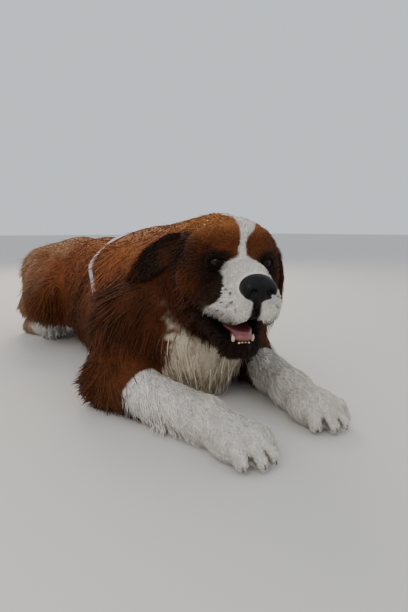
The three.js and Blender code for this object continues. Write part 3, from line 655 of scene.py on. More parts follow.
HEAD_LIE = (
    ((0, -85, -4), (0, 0.9, 0.35), 4, 0.1),
    ((0, -50, 6), (0, 1, 0.15), 5, 0.1),
    ((30, -60, -18), (0.3, 0.95, 0), 6, 0.1),
    ((48, -60, -52), (0.2, 0.9, -0.4), 8, 0.12),
    ((30, -92, -66), (0.6, 0.5, -0.6), 6, 0.12),
    ((36, -70, -92), (0.2, 0.5, -0.85), 9, 0.15),
    ((58, -10, -70), (0.2, 0.8, -0.6), 14, 0.16),
    ((0, 5, 30), (0, 0.8, 0.6), 8, 0.1),
    ((0, 35, 72), (0, 0.95, 0.3), 13, 0.14),
    ((0, 90, 88), (0, 1, -0.05), 32, 0.34),
    ((35, 20, 45), (0.3, 0.8, 0.4), 10, 0.14),
    ((60, 70, 65), (0.5, 0.85, -0.1), 30, 0.3),
    ((46, -26, 12), (0.2, 0.5, 0.8), 4, 0.1),
    ((46, -28, -14), (0.2, 0.7, -0.7), 4, 0.1),
    ((52, -10, -34), (0.3, 0.85, -0.4), 8, 0.12),
    ((72, 20, 8), (0.3, 0.9, -0.1), 14, 0.18),
    ((84, 60, 0), (0.3, 0.8, -0.45), 34, 0.3),
    ((92, 50, -40), (0.55, 0.4, -0.75), 64, 0.5),
    ((80, 30, -84), (0.55, 0.3, -0.85), 76, 0.52),
    ((60, 80, -100), (0.2, 0.5, -0.9), 80, 0.38),
    ((0, -60, -150), (0, 0.6, -0.6), 12, 0.2),
    ((30, -30, -142), (0.2, 0.7, -0.7), 24, 0.25),
    ((30, 30, -140), (0.1, 0.5, -0.9), 60, 0.35),
)


def lie_rows():
    """All rows for both sides, in the dog's frame in metres."""
    rows = []
    for table, headed in ((BODY_LIE, False), (HEAD_LIE, True)):
        for place, way, *rest in table:
            for _, s in SIDES if place[0] else SIDES[:1]:
                at, to = np.array((place, way), float) * (s, 1, 1)
                rows.append((from_head(at), HEAD_AXES @ to, *rest) if headed else (at * MM, to, *rest))
    path = np.array(TAIL_PATH, float)
    for i in range(len(path) - 1):
        for t in (0.25, 0.75):
            place = (path[i] * (1 - t) + path[i + 1] * t) * MM
            rows.append((place, unit(path[i + 1] - path[i]) - (0, 0, 0.25), 78 - 6 * i, 0.3))
    places, ways, lengths, lifts = zip(*rows)
    ways = np.array(ways)
    ways /= np.linalg.norm(ways, axis=1)[:, None]
    return np.array(places), ways, np.array(lengths, float), np.array(lifts)


LIE = lie_rows()


def coat_at(p):
    """The way, length and lift of the coat at places, weighed by how near each row is."""
    places, ways, lengths, lifts = LIE
    way = np.zeros((len(p), 3))
    sums = np.zeros((len(p), 3))
    for i in range(len(places)):
        near = 1 / (np.sum((p - places[i]) ** 2, axis=1) + 0.00012) ** 2
        way += near[:, None] * ways[i]
        sums[:, 0] += near
        sums[:, 1] += near * math.log(lengths[i])
        sums[:, 2] += near * lifts[i]
    return way / sums[:, :1], np.exp(sums[:, 1] / sums[:, 0]) * MM, sums[:, 2] / sums[:, 0]


# Eyes, ears and the strap

def eye_spot(s):
    """The eye's centre, a little behind where a line from straight ahead meets the face."""
    depths = np.arange(-90, 60, 0.5)
    line = from_head([(s * EYE_SPREAD, y, 0) for y in depths])
    first = np.nonzero(field_at(BARE_HEAD, line) < 0)[0][0]
    return from_head((s * EYE_SPREAD, depths[first] + EYE_DEPTH, 0))


def lid_shapes(s):
    """A ring of lid round the eye, wider than it is high."""
    centre = EYES[s]
    facing = HEAD_AXES @ np.array((s * 0.38, -0.92, 0.06))
    up = HEAD_AXES @ np.array((0, 0, 1.0))
    across = np.cross(facing, up)
    up = np.cross(across, facing)
    ring = []
    for i in range(LID_STEPS):
        a = 2 * math.pi * i / LID_STEPS
        height = 8.8 if math.sin(a) > 0 else 8.2
        out = facing * (9.5 - 3 * abs(math.cos(a)) ** 3)
        ring.append((centre / MM) + out + across * 14.5 * math.cos(a) + up * height * math.sin(a))
    return [(Limb(ring[i], ring[(i + 1) % LID_STEPS], 3.4, 3.4), 4) for i in range(LID_STEPS)]


BARE_HEAD = HEAD
EYES = {s: eye_spot(s) for _, s in SIDES}
SOCKETS = [
    (Mass((EYES[s] + HEAD_AXES @ (0, -0.013, 0)) / MM, (16, 10, 10), HEAD_AXES), -12) for _, s in SIDES
]
HEAD = BARE_HEAD + SOCKETS + lid_shapes(1.0) + lid_shapes(-1.0)
EAR_PATHS = {
    1.0: ((70, 84, 20), (95, 80, 12), (109, 72, -20), (112, 62, -64), (105, 54, -106)),
    -1.0: ((70, 88, 20), (96, 102, 12), (121, 126, -6), (144, 152, -30), (162, 180, -56)),
}
EAR_FACINGS = {1.0: (0.95, 0.0, 0.25), -1.0: (-0.62, -0.66, 0.42)}
EAR_WIDTHS = (42, 54, 54, 42, 15)
EAR_TUFTS = 4200


def eased_path(rows, count):
    """Evenly spaced places on a smooth curve through the rows."""
    rows = np.array(rows, float)
    padded = np.vstack([2 * rows[0] - rows[1], rows, 2 * rows[-1] - rows[-2]])
    made = []
    for u in np.linspace(0, len(rows) - 1 - 1e-6, count):
        i = int(u)
        t = u - i
        a, b, c, d = padded[i : i + 4]
        square = (2 * a - 5 * b + 4 * c - d) * t**2
        cube = (3 * b - a - 3 * c + d) * t**3
        made.append(0.5 * (2 * b + (c - a) * t + square + cube))
    return np.array(made)


def ring_faces(rings, around, closed=False):
    """Quads between neighbouring rings of points, and from the last ring to the first where closed."""
    faces = []
    for i in range(rings if closed else rings - 1):
        j = (i + 1) % rings
        for k in range(around):
            n = (k + 1) % around
            faces.append((i * around + k, i * around + n, j * around + n, j * around + k))
    return faces


def ear_shape(s, stations=20, around=22):
    """An ear flap cupped across its width: its points, faces and the way it hangs at each station."""
    path = eased_path([(x * s, y, z) for x, y, z in EAR_PATHS[s]], stations)
    widths = eased_path([(w, 0, 0) for w in EAR_WIDTHS], stations)[:, 0]
    facing = np.array(EAR_FACINGS[s])
    points, ways = [], []
    for i in range(stations):
        along = unit(path[min(i + 1, stations - 1)] - path[max(i - 1, 0)])
        out = unit(facing - along * (facing @ along))
        across = np.cross(along, out)
        ways.append(HEAD_AXES @ along)
        thick = 9 - 4 * i / stations
        for k in range(around):
            a = 2 * math.pi * k / around
            t = math.cos(a)
            half = widths[i] / 2
            bulge = half * 0.3 * (1 - t * t) + math.sin(a) * thick / 2
            points.append(path[i] + across * t * half + out * bulge)
    faces = ring_faces(stations, around)
    faces.append(tuple(range(around))[::-1])
    faces.append(tuple(range((stations - 1) * around, stations * around)))
    if s < 0:
        faces = [f[::-1] for f in faces]
    return from_head(points), faces, np.array(ways)


STRAP_WIDTH = 25.0
STRAP_SIDE_Y = -112.0
STRAP_TOP_Y = 48.0


def strap_y(z):
    """How far back the strap runs at a height, in millimetres."""
    return STRAP_SIDE_Y + (STRAP_TOP_Y - STRAP_SIDE_Y) * ramp(z, 215, 345)


def strap_shape(segments=120, off=13.0, thick=2.4):
    """The strap as a closed band over the coat, with its points and faces."""
    reaches = np.arange(60, 320, 1.0)
    points = []
    for i in range(segments):
        a = 2 * math.pi * i / segments
        ray = np.array((math.cos(a), 0, math.sin(a)))
        z = 165 + ray[2] * reaches
        line = np.stack([ray[0] * reaches, strap_y(z), z], axis=1) * MM
        inside = field_at(STRAPPED, line) < 0
        last = np.nonzero(~inside)[0]
        foot = line[last[0] if len(last) else -1] / MM
        for y, out in ((-1, 0), (-0.8, thick), (0.8, thick), (1, 0), (0.8, -0.4), (-0.8, -0.4)):
            p = foot + ray * (off + out)
            points.append((p[0], p[1] + y * STRAP_WIDTH / 2, max(p[2], 1.5 + out)))
    return np.array(points) * MM, ring_faces(segments, 6, closed=True)


# Solid tufts

# How many tufts gather into a clump and how strongly, and their wave's height as a share of their length
CLUMP_TUFTS = 13
CLUMP_PULL = 0.72
WAVE_HEIGHT = 0.055
# How much a tuft strays from its way, how deep its root sits and how high above the floor it stays
TUFT_STRAY = 0.13
ROOT_DEPTH = 0.0015
TUFT_FLOOR = 0.0015
# A tuft's width: a least one and a share of its length
TUFT_WIDTH = 0.0007
TUFT_WIDENING = 0.03


def tuft_mesh(name, uvs, paths, sides, widths, colours, material):
    """Tapered three-sided tufts as one mesh. paths holds each tuft's places from root to tip."""
    count, stations = paths.shape[:2]
    rings = stations - 1
    thick = np.cross(sides, paths[:, -1] - paths[:, 0])
    thick /= np.linalg.norm(thick, axis=1)[:, None] + 1e-9
    shape = np.linspace(0, 1, stations)[:-1]
    girth = (0.75 + 0.5 * np.sin(math.pi * shape * 0.9)) * (1 - 0.55 * shape)
    corners = ((-0.5, -0.12), (0.5, -0.12), (0.0, 0.3))
    verts = np.zeros((count, rings * 3 + 1, 3), np.float32)
    for r in range(rings):
        for c, (a, b) in enumerate(corners):
            w = (widths * girth[r])[:, None]
            verts[:, r * 3 + c] = paths[:, r] + sides * w * a + thick * w * b
    verts[:, -1] = paths[:, -1]
    verts[:, :, 2] = np.maximum(verts[:, :, 2], TUFT_FLOOR)
    faces = []
    for r in range(rings - 1):
        for c in range(3):
            n = (c + 1) % 3
            faces.append((r * 3 + c, r * 3 + n, r * 3 + 3 + n))
            faces.append((r * 3 + c, r * 3 + 3 + n, r * 3 + 3 + c))
    tip = rings * 3
    for c in range(3):
        faces.append((tip - 3 + c, tip - 3 + (c + 1) % 3, tip))
    faces.append((2, 1, 0))
    faces = np.array(faces)
    per = rings * 3 + 1
    loops = (faces[None] + (np.arange(count) * per)[:, None, None]).reshape(-1)
    mesh = bpy.data.meshes.new(name)
    mesh.vertices.add(count * per)
    mesh.vertices.foreach_set("co", verts.reshape(-1))
    mesh.loops.add(len(loops))
    mesh.loops.foreach_set("vertex_index", loops.astype(np.int32))
    total = len(loops) // 3
    mesh.polygons.add(total)
    mesh.polygons.foreach_set("loop_start", np.arange(0, total * 3, 3, dtype=np.int32))
    mesh.polygons.foreach_set("use_smooth", np.ones(total, bool))
    layer = mesh.uv_layers.new(name="OFBake")
    spread = np.zeros((per, 2))
    spread[:-1, 0] = np.tile((-0.0012, 0.0012, 0), rings)
    spread[:, 1] = np.append(np.repeat(np.linspace(-0.0013, 0.0008, rings), 3), 0.0013)
    spots = uvs[:, None, :] + spread[None]
    layer.data.foreach_set("uv", spots.reshape(-1, 2)[loops].astype(np.float32).reshape(-1))
    mesh.update()
    mesh.validate()
    made = placed(name, mesh, material)
    # Painted shade: each tuft is painted darker toward its root, as shade among the hair, and a little
    # lighter at its tip
    root_to_tip_painted_shade = np.append(np.repeat(np.linspace(0.78, 1.04, rings), 3), 1.08)
    paint(made, (colours[:, None, :] * root_to_tip_painted_shade[None, :, None]).reshape(-1, 3))
    return made


def spread_roots(points, faces, wanted, seed):
    """Random places over faces, closer together where the coat is shorter."""
    random = np.random.RandomState(seed)
    triangles = np.array([t for f in faces for t in ([f] if len(f) == 3 else [f[:3], (f[0], *f[2:4])])])
    a, b, c = (points[triangles[:, i]] for i in range(3))
    normal = np.cross(b - a, c - a)
    area = np.linalg.norm(normal, axis=1)
    middle = (a + b + c) / 3
    _, length, _ = coat_at(middle)
    weight = area / (0.0011 + 0.054 * length) ** 2
    pick = np.searchsorted(np.cumsum(weight), random.uniform(0, weight.sum(), wanted))
    pick = np.minimum(pick, len(area) - 1)
    u = np.sqrt(random.uniform(size=(wanted, 1)))
    v = random.uniform(size=(wanted, 1))
    spots = a[pick] * (1 - u) + b[pick] * (u * (1 - v)) + c[pick] * (u * v)
    return spots, normal[pick] / (area[pick][:, None] + 1e-12)


# Egg-shaped hollows in the head's frame: where no hair grows in the mouth, and its dark red lining
MOUTH_BARE = (((0, -50, -110), (39, 60, 34)), ((0, 8, -106), (46, 50, 28)))
MOUTH_LINING = (((0, -50, -110), (39, 59, 34)), ((0, 8, -106), (47, 51, 28)))
# The bare room round an eye's centre, the nose and the strap, in metres
EYE_ROOM = 0.0165
NOSE_ROOM = 0.003
STRAP_ROOM = 0.012


def in_hollows(h, hollows):
    inside = np.zeros(len(h), bool)
    for centre, radii in hollows:
        inside |= np.linalg.norm((h - centre) / radii, axis=1) < 1
    return inside


def bare(p, normal):
    """True where no hair grows: mouth, nose, eyes, under the dog, the strap and inside its own forms."""
    h = to_head(p) / MM
    out = (p[:, 2] < 0.004) | ((normal[:, 2] < -0.8) & (p[:, 2] < 0.02))
    out |= in_hollows(h, MOUTH_BARE)
    out |= field_at(nose_shapes(), p) < NOSE_ROOM
    for centre in EYES.values():
        out |= np.linalg.norm(p - centre, axis=1) < EYE_ROOM
    out |= (field_at(BARE_HEAD, p) < -0.006) | (field_at(TRUNK, p) < -0.008)
    beside = np.abs(p[:, 1] / MM - strap_y(p[:, 2] / MM))
    out |= (beside < STRAP_WIDTH / 2 + 2) & (field_at(STRAPPED, p) < STRAP_ROOM) & (h[:, 1] > 150)
    return out


def grow(spots, normal, way, length, lift, stations, seed):
    """Each tuft's places from root to tip, gathered into clumps with a soft wave."""
    random = np.random.RandomState(seed)
    settings = bpy.context.scene.bernard_coat
    count = len(spots)
    length = length * settings.length * random.uniform(0.72, 1.2, count)
    before_strap = strap_y(spots[:, 2] / MM) * MM - STRAP_WIDTH / 2 * MM - spots[:, 1]
    upstream = (before_strap > 0) & (before_strap < 0.09)
    upstream &= (to_head(spots)[:, 1] > 0.15) & (spots[:, 2] > 0.1)
    length = np.where(upstream, np.minimum(length, before_strap + 0.012), length)
    tangent = way - normal * np.sum(way * normal, axis=1)[:, None]
    tangent += random.normal(scale=TUFT_STRAY, size=tangent.shape)
    tangent /= np.linalg.norm(tangent, axis=1)[:, None] + 1e-9
    sides = np.cross(tangent, normal)
    sides /= np.linalg.norm(sides, axis=1)[:, None] + 1e-9
    paths = np.zeros((count, stations, 3))
    paths[:, 0] = spots - normal * ROOT_DEPTH
    lift = lift * random.uniform(0.5, 1.6, count)
    for i in range(1, stations):
        t = i / (stations - 1)
        heading = tangent + normal * (lift * (1.7 - 2.1 * t))[:, None]
        heading[:, 2] -= 0.16 * t
        heading /= np.linalg.norm(heading, axis=1)[:, None]
        paths[:, i] = paths[:, i - 1] + heading * (length / (stations - 1))[:, None]
    guides = random.choice(count, max(count // CLUMP_TUFTS, 1), replace=False)
    tree = KDTree(len(guides))
    for i, g in enumerate(guides):
        tree.insert(spots[g], i)
    tree.balance()
    owner = guides[[tree.find(p)[1] for p in spots]]
    apart = np.linalg.norm(spots - spots[owner], axis=1)
    joined = np.clip(1 - apart / (0.5 * length + 0.002), 0, 1)
    joined *= np.clip((length - 0.012) / 0.03, 0, 1)
    phase = random.uniform(0, 6.28, count)[owner]
    for i in range(1, stations):
        t = i / (stations - 1)
        pull = (joined * CLUMP_PULL * t**1.4)[:, None]
        target = paths[owner, i] + (spots - spots[owner]) * 0.2
        paths[:, i] = paths[:, i] * (1 - pull) + target * pull
        wave = np.sin(phase + 4.2 * t) * length * WAVE_HEIGHT * t
        paths[:, i] += sides * wave[:, None]
    shade = random.uniform(0.78, 1.18, count) * random.uniform(0.84, 1.14, count)[owner]
    return paths, sides, length, shade


# The operators

# Each light's name, colour, energy, width and place
STUDIO_LIGHTS = (
    ("key", "#FFF6EC", 56, 2.4, (-2.3, -1.9, 2.6)),
    ("fill", "#F2F5FF", 14, 3.0, (2.2, -2.8, 1.8)),
    ("back", "#FFE9CF", 66, 1.8, (0.9, 2.6, 2.3)),
)
LIGHTS_AIM = (0, 0, 0.2)
FLOOR_REACH = 30.0
# The camera's place and the way it looks along the floor, in the dog's frame, and how far it looks down
CAMERA_PLACE = (-0.552, -1.067, 0.38)
CAMERA_HEADING = (0.574, 0.819)
CAMERA_DOWN = math.radians(9.82)
# The lens in millimetres: 442 pixels over the photograph's height of 612
CAMERA_LENS = 442 / 612 * 36


def colour_property(name, description, code):
    return bpy.props.FloatVectorProperty(
        name=name, description=description, subtype="COLOR", size=3, default=linear(code)
    )


class BernardCoat(bpy.types.PropertyGroup):
    """The colours and length of the coat."""

    rust: colour_property("Rust", "Main colour of the coat", "#84482A")
    tan: colour_property("Tan", "Paler colour of the hindquarters", "#B59070")
    white: colour_property("White", "Colour of the blaze, chest and paws", "#F4EFE6")
    dark: colour_property("Dark", "Colour of the mask and ears", "#271914")
    length: bpy.props.FloatProperty(
        name="Length", description="Scale of the hair's length", default=1.0, min=0.5, max=1.3
    )
    tufts: bpy.props.IntProperty(
        name="Tufts", description="How many tufts the coat starts from",
        default=112000, min=10000, max=120000,
    )
    seed: bpy.props.IntProperty(name="Seed", description="Start of the random numbers", default=7)


class BernardFace(bpy.types.PropertyGroup):
    """The finishes of the bare parts."""

    nose: colour_property("Nose", "Colour of the nose", "#070606")
    # Painted shade: the tongue's colour is darkened, as shade inside the mouth
    tongue: colour_property("Tongue", "Colour of the tongue", "#7E3F42")
    iris: colour_property("Iris", "Colour of the eyes", "#2C1A0F")


# The grid steps of the surfaces, in metres
TRUNK_CELL = 0.0042
HEAD_CELL = 0.0021
JAW_CELL = 0.0022
SMALL_CELL = 0.0016
FINE_CELL = 0.0009
# Painted shade: how much darker the skin and ear flaps are painted than their hair, as shade between the
# tufts
SKIN_PAINTED_SHADE = 0.7
# How far from the gaze the iris and the pupil end, in radians
IRIS_EDGE = 0.66
PUPIL_EDGE = 0.34
# The skin's and ears' points, which the coat's step reads
SHAPES = {}


class OBJECT_OT_bernard_skin(bpy.types.Operator):
    """The skin of the body, head and jaw"""

    bl_idname = "object.bernard_skin"
    bl_label = "Skin"

    def execute(self, context):
        points, faces = [], []
        for shapes, cell in ((TRUNK, TRUNK_CELL), (HEAD, HEAD_CELL), (JAW, JAW_CELL)):
            made, made_faces = surface(shapes, cell)
            start = sum(len(p) for p in points)
            points.append(made)
            faces += [tuple(v + start for v in f) for f in made_faces]
        jaw_start = start
        points = np.vstack(points)
        points[:, 2] = np.maximum(points[:, 2], 0)
        colours = markings(points)
        h = to_head(points) / MM
        lip = np.zeros(len(points))
        lip[jaw_start:] = ramp(h[jaw_start:, 2] - 0.2 * h[jaw_start:, 1], -146, -138)
        colours = mixed(colours, linear("#1B1211"), lip)
        lining = in_hollows(h, MOUTH_LINING)
        lining[jaw_start:] = False
        colours[lining] = linear("#2E1413")
        for centre in EYES.values():
            rim = ramp(0.021 - np.linalg.norm(points - centre, axis=1), 0, 0.003)
            colours = mixed(colours, linear("#0E0A09"), rim)
        skin = mesh_object("skin", points, faces, hair_material("skin_hair", 0.65, 420))
        # The skin is painted darker, as shade under its hair
        paint(skin, colours * SKIN_PAINTED_SHADE)
        keep(
            skin, "coat", "torso", "neck", "head", "lower_jaw", "tail",
            *[f"{n}_{side}" for side, _ in SIDES for n in ("foreleg", "forepaw", "hind_leg", "hind_foot")],
        )
        SHAPES["skin"] = (skin, points, faces)
        return {"FINISHED"}


class OBJECT_OT_bernard_ears(bpy.types.Operator):
    """The two folded ears"""

    bl_idname = "object.bernard_ears"
    bl_label = "Ears"

    def execute(self, context):
        material = hair_material("ear_hair", 0.6, 500)
        for name, s in SIDES:
            points, faces, ways = ear_shape(s)
            ear = mesh_object(f"ear_{name}_flap", points, faces, material)
            # The ear flap is painted darker, as shade under its hair
            paint(ear, ear_colours(points) * SKIN_PAINTED_SHADE)
            keep(ear, "dark_coat", f"ear_{name}")
            SHAPES[f"ear_{name}"] = (points, faces, ways)
        return {"FINISHED"}


class OBJECT_OT_bernard_eyes(bpy.types.Operator):
    """The eyes, with iris and pupil"""

    bl_idname = "object.bernard_eyes"
    bl_label = "Eyes"

    def execute(self, context):
        iris = tuple(context.scene.bernard_face.iris)
        glass = plain_material("eye_glass", (0.5, 0.5, 0.5), 0.12, coat=0.05, specular=0.1)
        tree = glass.node_tree
        colour = add_node(tree, "ShaderNodeAttribute", attribute_name="coat_colour")
        join(tree, (colour, "Color", tree.nodes["Principled BSDF"], "Base Color"))
        for name, s in SIDES:
            centre = EYES[s]
            gaze = unit(HEAD_AXES @ np.array((s * 0.16, -0.98, 0.05)))
            across = unit(np.cross(gaze, (0, 0, 1.0)))
            up = np.cross(across, gaze)
            points = []
            rows, around = 28, 36
            for r in range(rows + 1):
                a = math.pi * r / rows
                bulge = 1 + 0.05 * math.exp(-((a / 0.45) ** 2))
                width = max(math.sin(a), 0.004)
                for k in range(around):
                    b = 2 * math.pi * k / around
                    way = gaze * math.cos(a) + (across * math.cos(b) + up * math.sin(b)) * width
                    points.append(centre + way * EYE_RADIUS * MM * bulge)
            faces = [(a, d, c, b) for a, b, c, d in ring_faces(rows + 1, around)]
            faces.append(tuple(range(around)))
            faces.append(tuple(range(rows * around, (rows + 1) * around))[::-1])
            eye = mesh_object(f"eye_{name}_ball", points, faces, glass)
            angle = np.repeat(np.arange(rows + 1) * math.pi / rows, around)
            colours = np.tile(linear("#2E221C"), (len(points), 1))
            colours = mixed(colours, iris, ramp(IRIS_EDGE - angle, 0, 0.08))
            colours = mixed(colours, (0.002, 0.002, 0.002), ramp(PUPIL_EDGE - angle, 0, 0.05))
            paint(eye, colours)
            keep(eye, "eye", f"eye_{name}")
        return {"FINISHED"}


class OBJECT_OT_bernard_nose(bpy.types.Operator):
    """The nose pad with its nostrils"""

    bl_idname = "object.bernard_nose"
    bl_label = "Nose"

    def execute(self, context):
        points, faces = surface(nose_shapes(), FINE_CELL)
        dark = tuple(context.scene.bernard_face.nose)
        leather = plain_material("nose_leather", dark, 0.42, 0.1, 0.8, 600, specular=0.14)
        keep(mesh_object("nose_pad", points, faces, leather), "nose", "nose")
        return {"FINISHED"}


class OBJECT_OT_bernard_mouth(bpy.types.Operator):
    """The tongue and the lower teeth"""

    bl_idname = "object.bernard_mouth"
    bl_label = "Mouth"

    def execute(self, context):
        points, faces = surface(tongue_shapes(), SMALL_CELL)
        wet = plain_material("tongue_wet", tuple(context.scene.bernard_face.tongue), 0.28, 0.4, 0.4, 900)
        keep(mesh_object("tongue_top", points, faces, wet), "tongue", "tongue")
        ivory = plain_material("tooth", linear("#C9BA98"), 0.3, 0.2)
        shapes = []
        for _, s in SIDES:
            shapes.append((Limb((s * 17, -47, -140), (s * 18, -51, -128), 4.2, 3.1), 3))
            shapes.append((Limb((s * 18, -51, -128), (s * 20, -50, -122), 3.1, 0.9), 3))
            shapes += [(Mass((s * x, -57, -137), (2.7, 2.4, 4)), 1) for x in (3, 9)]
            for i in range(4):
                shapes.append((Mass((s * (24 + i * 5), -24 + 14 * i, -132 + 5 * i), (3.4, 6.5, 5)), 2))
        points, faces = surface(in_head(shapes), FINE_CELL)
        keep(mesh_object("lower_teeth", points, faces, ivory), "tongue")
        return {"FINISHED"}


class OBJECT_OT_bernard_claws(bpy.types.Operator):
    """A blunt dark claw at the tip of each toe"""

    bl_idname = "object.bernard_claws"
    bl_label = "Claws"

    def execute(self, context):
        shapes = []
        for _, s in SIDES:
            toes = [toe for centre, sizes in paws(s) for toe in toe_spots(centre, s, *sizes)]
            for root, tip in toes:
                along = unit(np.array(tip) - np.array(root))
                base = np.array(tip) + along * 8
                end = base + along * 3 + np.array((0, 0, -5))
                end[2] = max(end[2], 3)
                shapes.append((Limb(base, end, 4.2, 2.2), 1))
        points, faces = surface(shapes, SMALL_CELL)
        points[:, 2] = np.maximum(points[:, 2], 0.0005)
        horn = plain_material("claw_horn", linear("#3B322B"), 0.35, 0.2)
        keep(mesh_object("claws", points, faces, horn), "nose")
        return {"FINISHED"}


class OBJECT_OT_bernard_strap(bpy.types.Operator):
    """The girth strap behind the forelegs"""

    bl_idname = "object.bernard_strap"
    bl_label = "Strap"

    def execute(self, context):
        points, faces = strap_shape()
        webbing = hair_material("webbing", 0.5, 900)
        strap = mesh_object("girth_band", points, faces, webbing)
        y = points[:, 1] / MM - strap_y(points[:, 2] / MM)
        colours = np.tile(linear("#5B4A86"), (len(points), 1))
        pale = ramp(7 - np.abs(y), 0, 3) + ramp(points[:, 2], 0.2, 0.26)
        colours = mixed(colours, linear("#B7B3BD"), pale)
        paint(strap, colours)
        keep(strap, "webbing", "girth_strap")
        return {"FINISHED"}


# Tufts from this length on, in metres, have one more bend; a piece of coat holds at most so many tufts
LONG_HAIR = 0.02
PIECE_TUFTS = {"short": 19000, "long": 12000}


class OBJECT_OT_bernard_coat(bpy.types.Operator):
    """The coat as solid tufts, in pieces from the head to the tail"""

    bl_idname = "object.bernard_coat"
    bl_label = "Coat"

    def execute(self, context):
        settings = context.scene.bernard_coat
        skin, points, faces = SHAPES["skin"]
        find_uv = skin_map(skin)
        spots, normal = spread_roots(points, faces, settings.tufts, settings.seed)
        grows = ~bare(spots, normal)
        spots, normal = spots[grows], normal[grows]
        way, length, lift = coat_at(spots)
        for name, _ in SIDES:
            ear_points, ear_faces, ways = SHAPES[f"ear_{name}"]
            ear_spots, ear_normal = spread_roots(ear_points, ear_faces[:-2], EAR_TUFTS, settings.seed + 1)
            rows = ear_points.reshape(len(ways), -1, 3).mean(axis=1)
            near = np.argmin(np.linalg.norm(ear_spots[:, None] - rows[None], axis=2), axis=1)
            spots, normal = np.vstack([spots, ear_spots]), np.vstack([normal, ear_normal])
            way = np.vstack([way, ways[near] + (0, 0, -0.2)])
            length = np.append(length, 0.024 + 0.02 * near / len(ways))
            lift = np.append(lift, np.full(len(near), 0.3))
        ear_start = len(spots) - 2 * EAR_TUFTS
        colours = markings(spots)
        colours[ear_start:] = ear_colours(spots[ear_start:])
        uvs = np.array([find_uv(p) for p in spots])
        material = hair_material("coat_hair", 0.75, 260)
        for stations, chosen, name in ((3, length < LONG_HAIR, "short"), (4, length >= LONG_HAIR, "long")):
            rows = np.nonzero(chosen)[0]
            paths, sides, grown, shade = grow(
                spots[rows], normal[rows], way[rows], length[rows], lift[rows], stations, settings.seed + 2
            )
            shaded = colours[rows] * shade[:, None]
            widths = TUFT_WIDTH + TUFT_WIDENING * grown
            order = np.argsort(spots[rows, 1])
            pieces = int(math.ceil(len(order) / PIECE_TUFTS[name]))
            for i, part in enumerate(np.array_split(order, pieces)):
                coat = tuft_mesh(
                    f"{name}_coat_{i + 1}", uvs[rows][part], paths[part], sides[part], widths[part],
                    shaded[part], material,
                )
                keep(coat, "coat")
        return {"FINISHED"}


def skin_map(skin):
    """Finds a place's spot on an unwrap of the skin's own shape, by way of a coarser copy."""
    copy = skin.copy()
    copy.data = skin.data.copy()
    bpy.context.scene.collection.objects.link(copy)
    fewer = copy.modifiers.new("fewer", "DECIMATE")
    fewer.ratio = 9000 / len(skin.data.polygons)
    bpy.ops.object.select_all(action="DESELECT")
    copy.select_set(True)
    bpy.context.view_layer.objects.active = copy
    bpy.ops.object.modifier_apply(modifier="fewer")
    bpy.ops.object.mode_set(mode="EDIT")
    bpy.ops.mesh.select_all(action="SELECT")
    bpy.ops.uv.smart_project(angle_limit=math.radians(66), island_margin=0.004)
    bpy.ops.object.mode_set(mode="OBJECT")
    mesh = copy.data
    places = [v.co.copy() for v in mesh.vertices]
    layer = mesh.uv_layers.active.data
    faces = [tuple(p.vertices) for p in mesh.polygons]
    starts = [p.loop_start for p in mesh.polygons]
    flat = [Vector((*layer[i].uv, 0)) for i in range(len(layer))]
    tree = BVHTree.FromPolygons(places, faces)
    bpy.data.objects.remove(copy)

    def find(p):
        near, _, i, _ = tree.find_nearest(Vector(p))
        corners = [places[v] for v in faces[i][:3]]
        spots = flat[starts[i] : starts[i] + 3]
        a, b, c = corners
        whole = (b - a).cross(c - a).length + 1e-12
        pairs = ((b, c), (c, a), (a, b))
        parts = [(start - near).cross(end - near).length for start, end in pairs]
        spot = sum((spots[k] * (parts[k] / whole) for k in range(3)), Vector((0, 0, 0)))
        return spot.x, spot.y

    return find


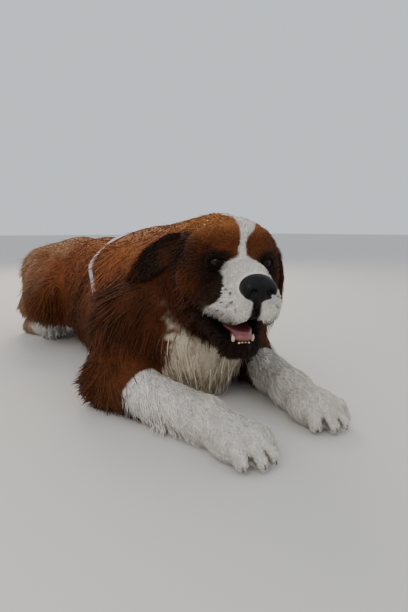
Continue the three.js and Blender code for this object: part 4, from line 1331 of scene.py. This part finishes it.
class OBJECT_OT_bernard_stage(bpy.types.Operator):
    """A plain pale floor, soft studio lights and the camera"""

    bl_idname = "object.bernard_stage"
    bl_label = "Stage"

    def execute(self, context):
        scene = context.scene
        signs = ((-1, -1), (1, -1), (1, 1), (-1, 1))
        corners = [(x * FLOOR_REACH, y * FLOOR_REACH, 0) for x, y in signs]
        pale = plain_material("pale_floor", linear("#CFCCC8"), 0.9)
        floor = mesh_object("floor", corners, [(0, 1, 2, 3)], pale, smooth=False)
        lights = []
        for name, colour, energy, width, place in STUDIO_LIGHTS:
            data = bpy.data.lights.new(name, "AREA")
            data.energy = energy
            data.size = width
            data.color = linear(colour)
            light = bpy.data.objects.new(name, data)
            light.location = place
            light.rotation_euler = (Vector(place) - Vector(LIGHTS_AIM)).to_track_quat("Z", "Y").to_euler()
            lights.append(light)
        world = bpy.data.worlds.new("studio")
        world.use_nodes = True
        background = world.node_tree.nodes["Background"]
        background.inputs["Color"].default_value = (*linear("#DDE3EA"), 1)
        background.inputs["Strength"].default_value = 1.0
        scene.world = world
        camera_data = bpy.data.cameras.new("camera")
        camera_data.lens = CAMERA_LENS
        camera = bpy.data.objects.new("camera", camera_data)
        camera.location = CAMERA_PLACE
        level = math.cos(CAMERA_DOWN)
        look = Vector((CAMERA_HEADING[0] * level, CAMERA_HEADING[1] * level, -math.sin(CAMERA_DOWN)))
        camera.rotation_euler = (-look).to_track_quat("Z", "Y").to_euler()
        for made in (*lights, camera):
            scene.collection.objects.link(made)
        scene.camera = camera
        return {"FINISHED"}


STEPS = (
    OBJECT_OT_bernard_skin,
    OBJECT_OT_bernard_ears,
    OBJECT_OT_bernard_eyes,
    OBJECT_OT_bernard_nose,
    OBJECT_OT_bernard_mouth,
    OBJECT_OT_bernard_claws,
    OBJECT_OT_bernard_strap,
    OBJECT_OT_bernard_coat,
    OBJECT_OT_bernard_stage,
)


class VIEW3D_PT_bernard(bpy.types.Panel):
    """Lists the steps and settings"""

    bl_idname = "VIEW3D_PT_bernard"
    bl_label = "Saint Bernard"
    bl_space_type = "VIEW_3D"
    bl_region_type = "UI"
    bl_category = "Saint Bernard"

    def draw(self, context):
        for group in (context.scene.bernard_coat, context.scene.bernard_face):
            for name in group.bl_rna.properties.keys():
                if name not in ("rna_type", "name"):
                    self.layout.prop(group, name)
        for step in STEPS:
            self.layout.operator(step.bl_idname)


CLASSES = (BernardCoat, BernardFace, *STEPS, VIEW3D_PT_bernard)


def register():
    for cls in CLASSES:
        bpy.utils.register_class(cls)
    bpy.types.Scene.bernard_coat = bpy.props.PointerProperty(type=BernardCoat)
    bpy.types.Scene.bernard_face = bpy.props.PointerProperty(type=BernardFace)


def unregister():
    del bpy.types.Scene.bernard_face
    del bpy.types.Scene.bernard_coat
    for cls in reversed(CLASSES):
        bpy.utils.unregister_class(cls)


def main():
    register()
    bpy.ops.object.bernard_skin()
    bpy.ops.object.bernard_ears()
    bpy.ops.object.bernard_eyes()
    bpy.ops.object.bernard_nose()
    bpy.ops.object.bernard_mouth()
    bpy.ops.object.bernard_claws()
    bpy.ops.object.bernard_strap()
    bpy.ops.object.bernard_coat()
    bpy.ops.object.bernard_stage()


if __name__ == "__main__":
    main()
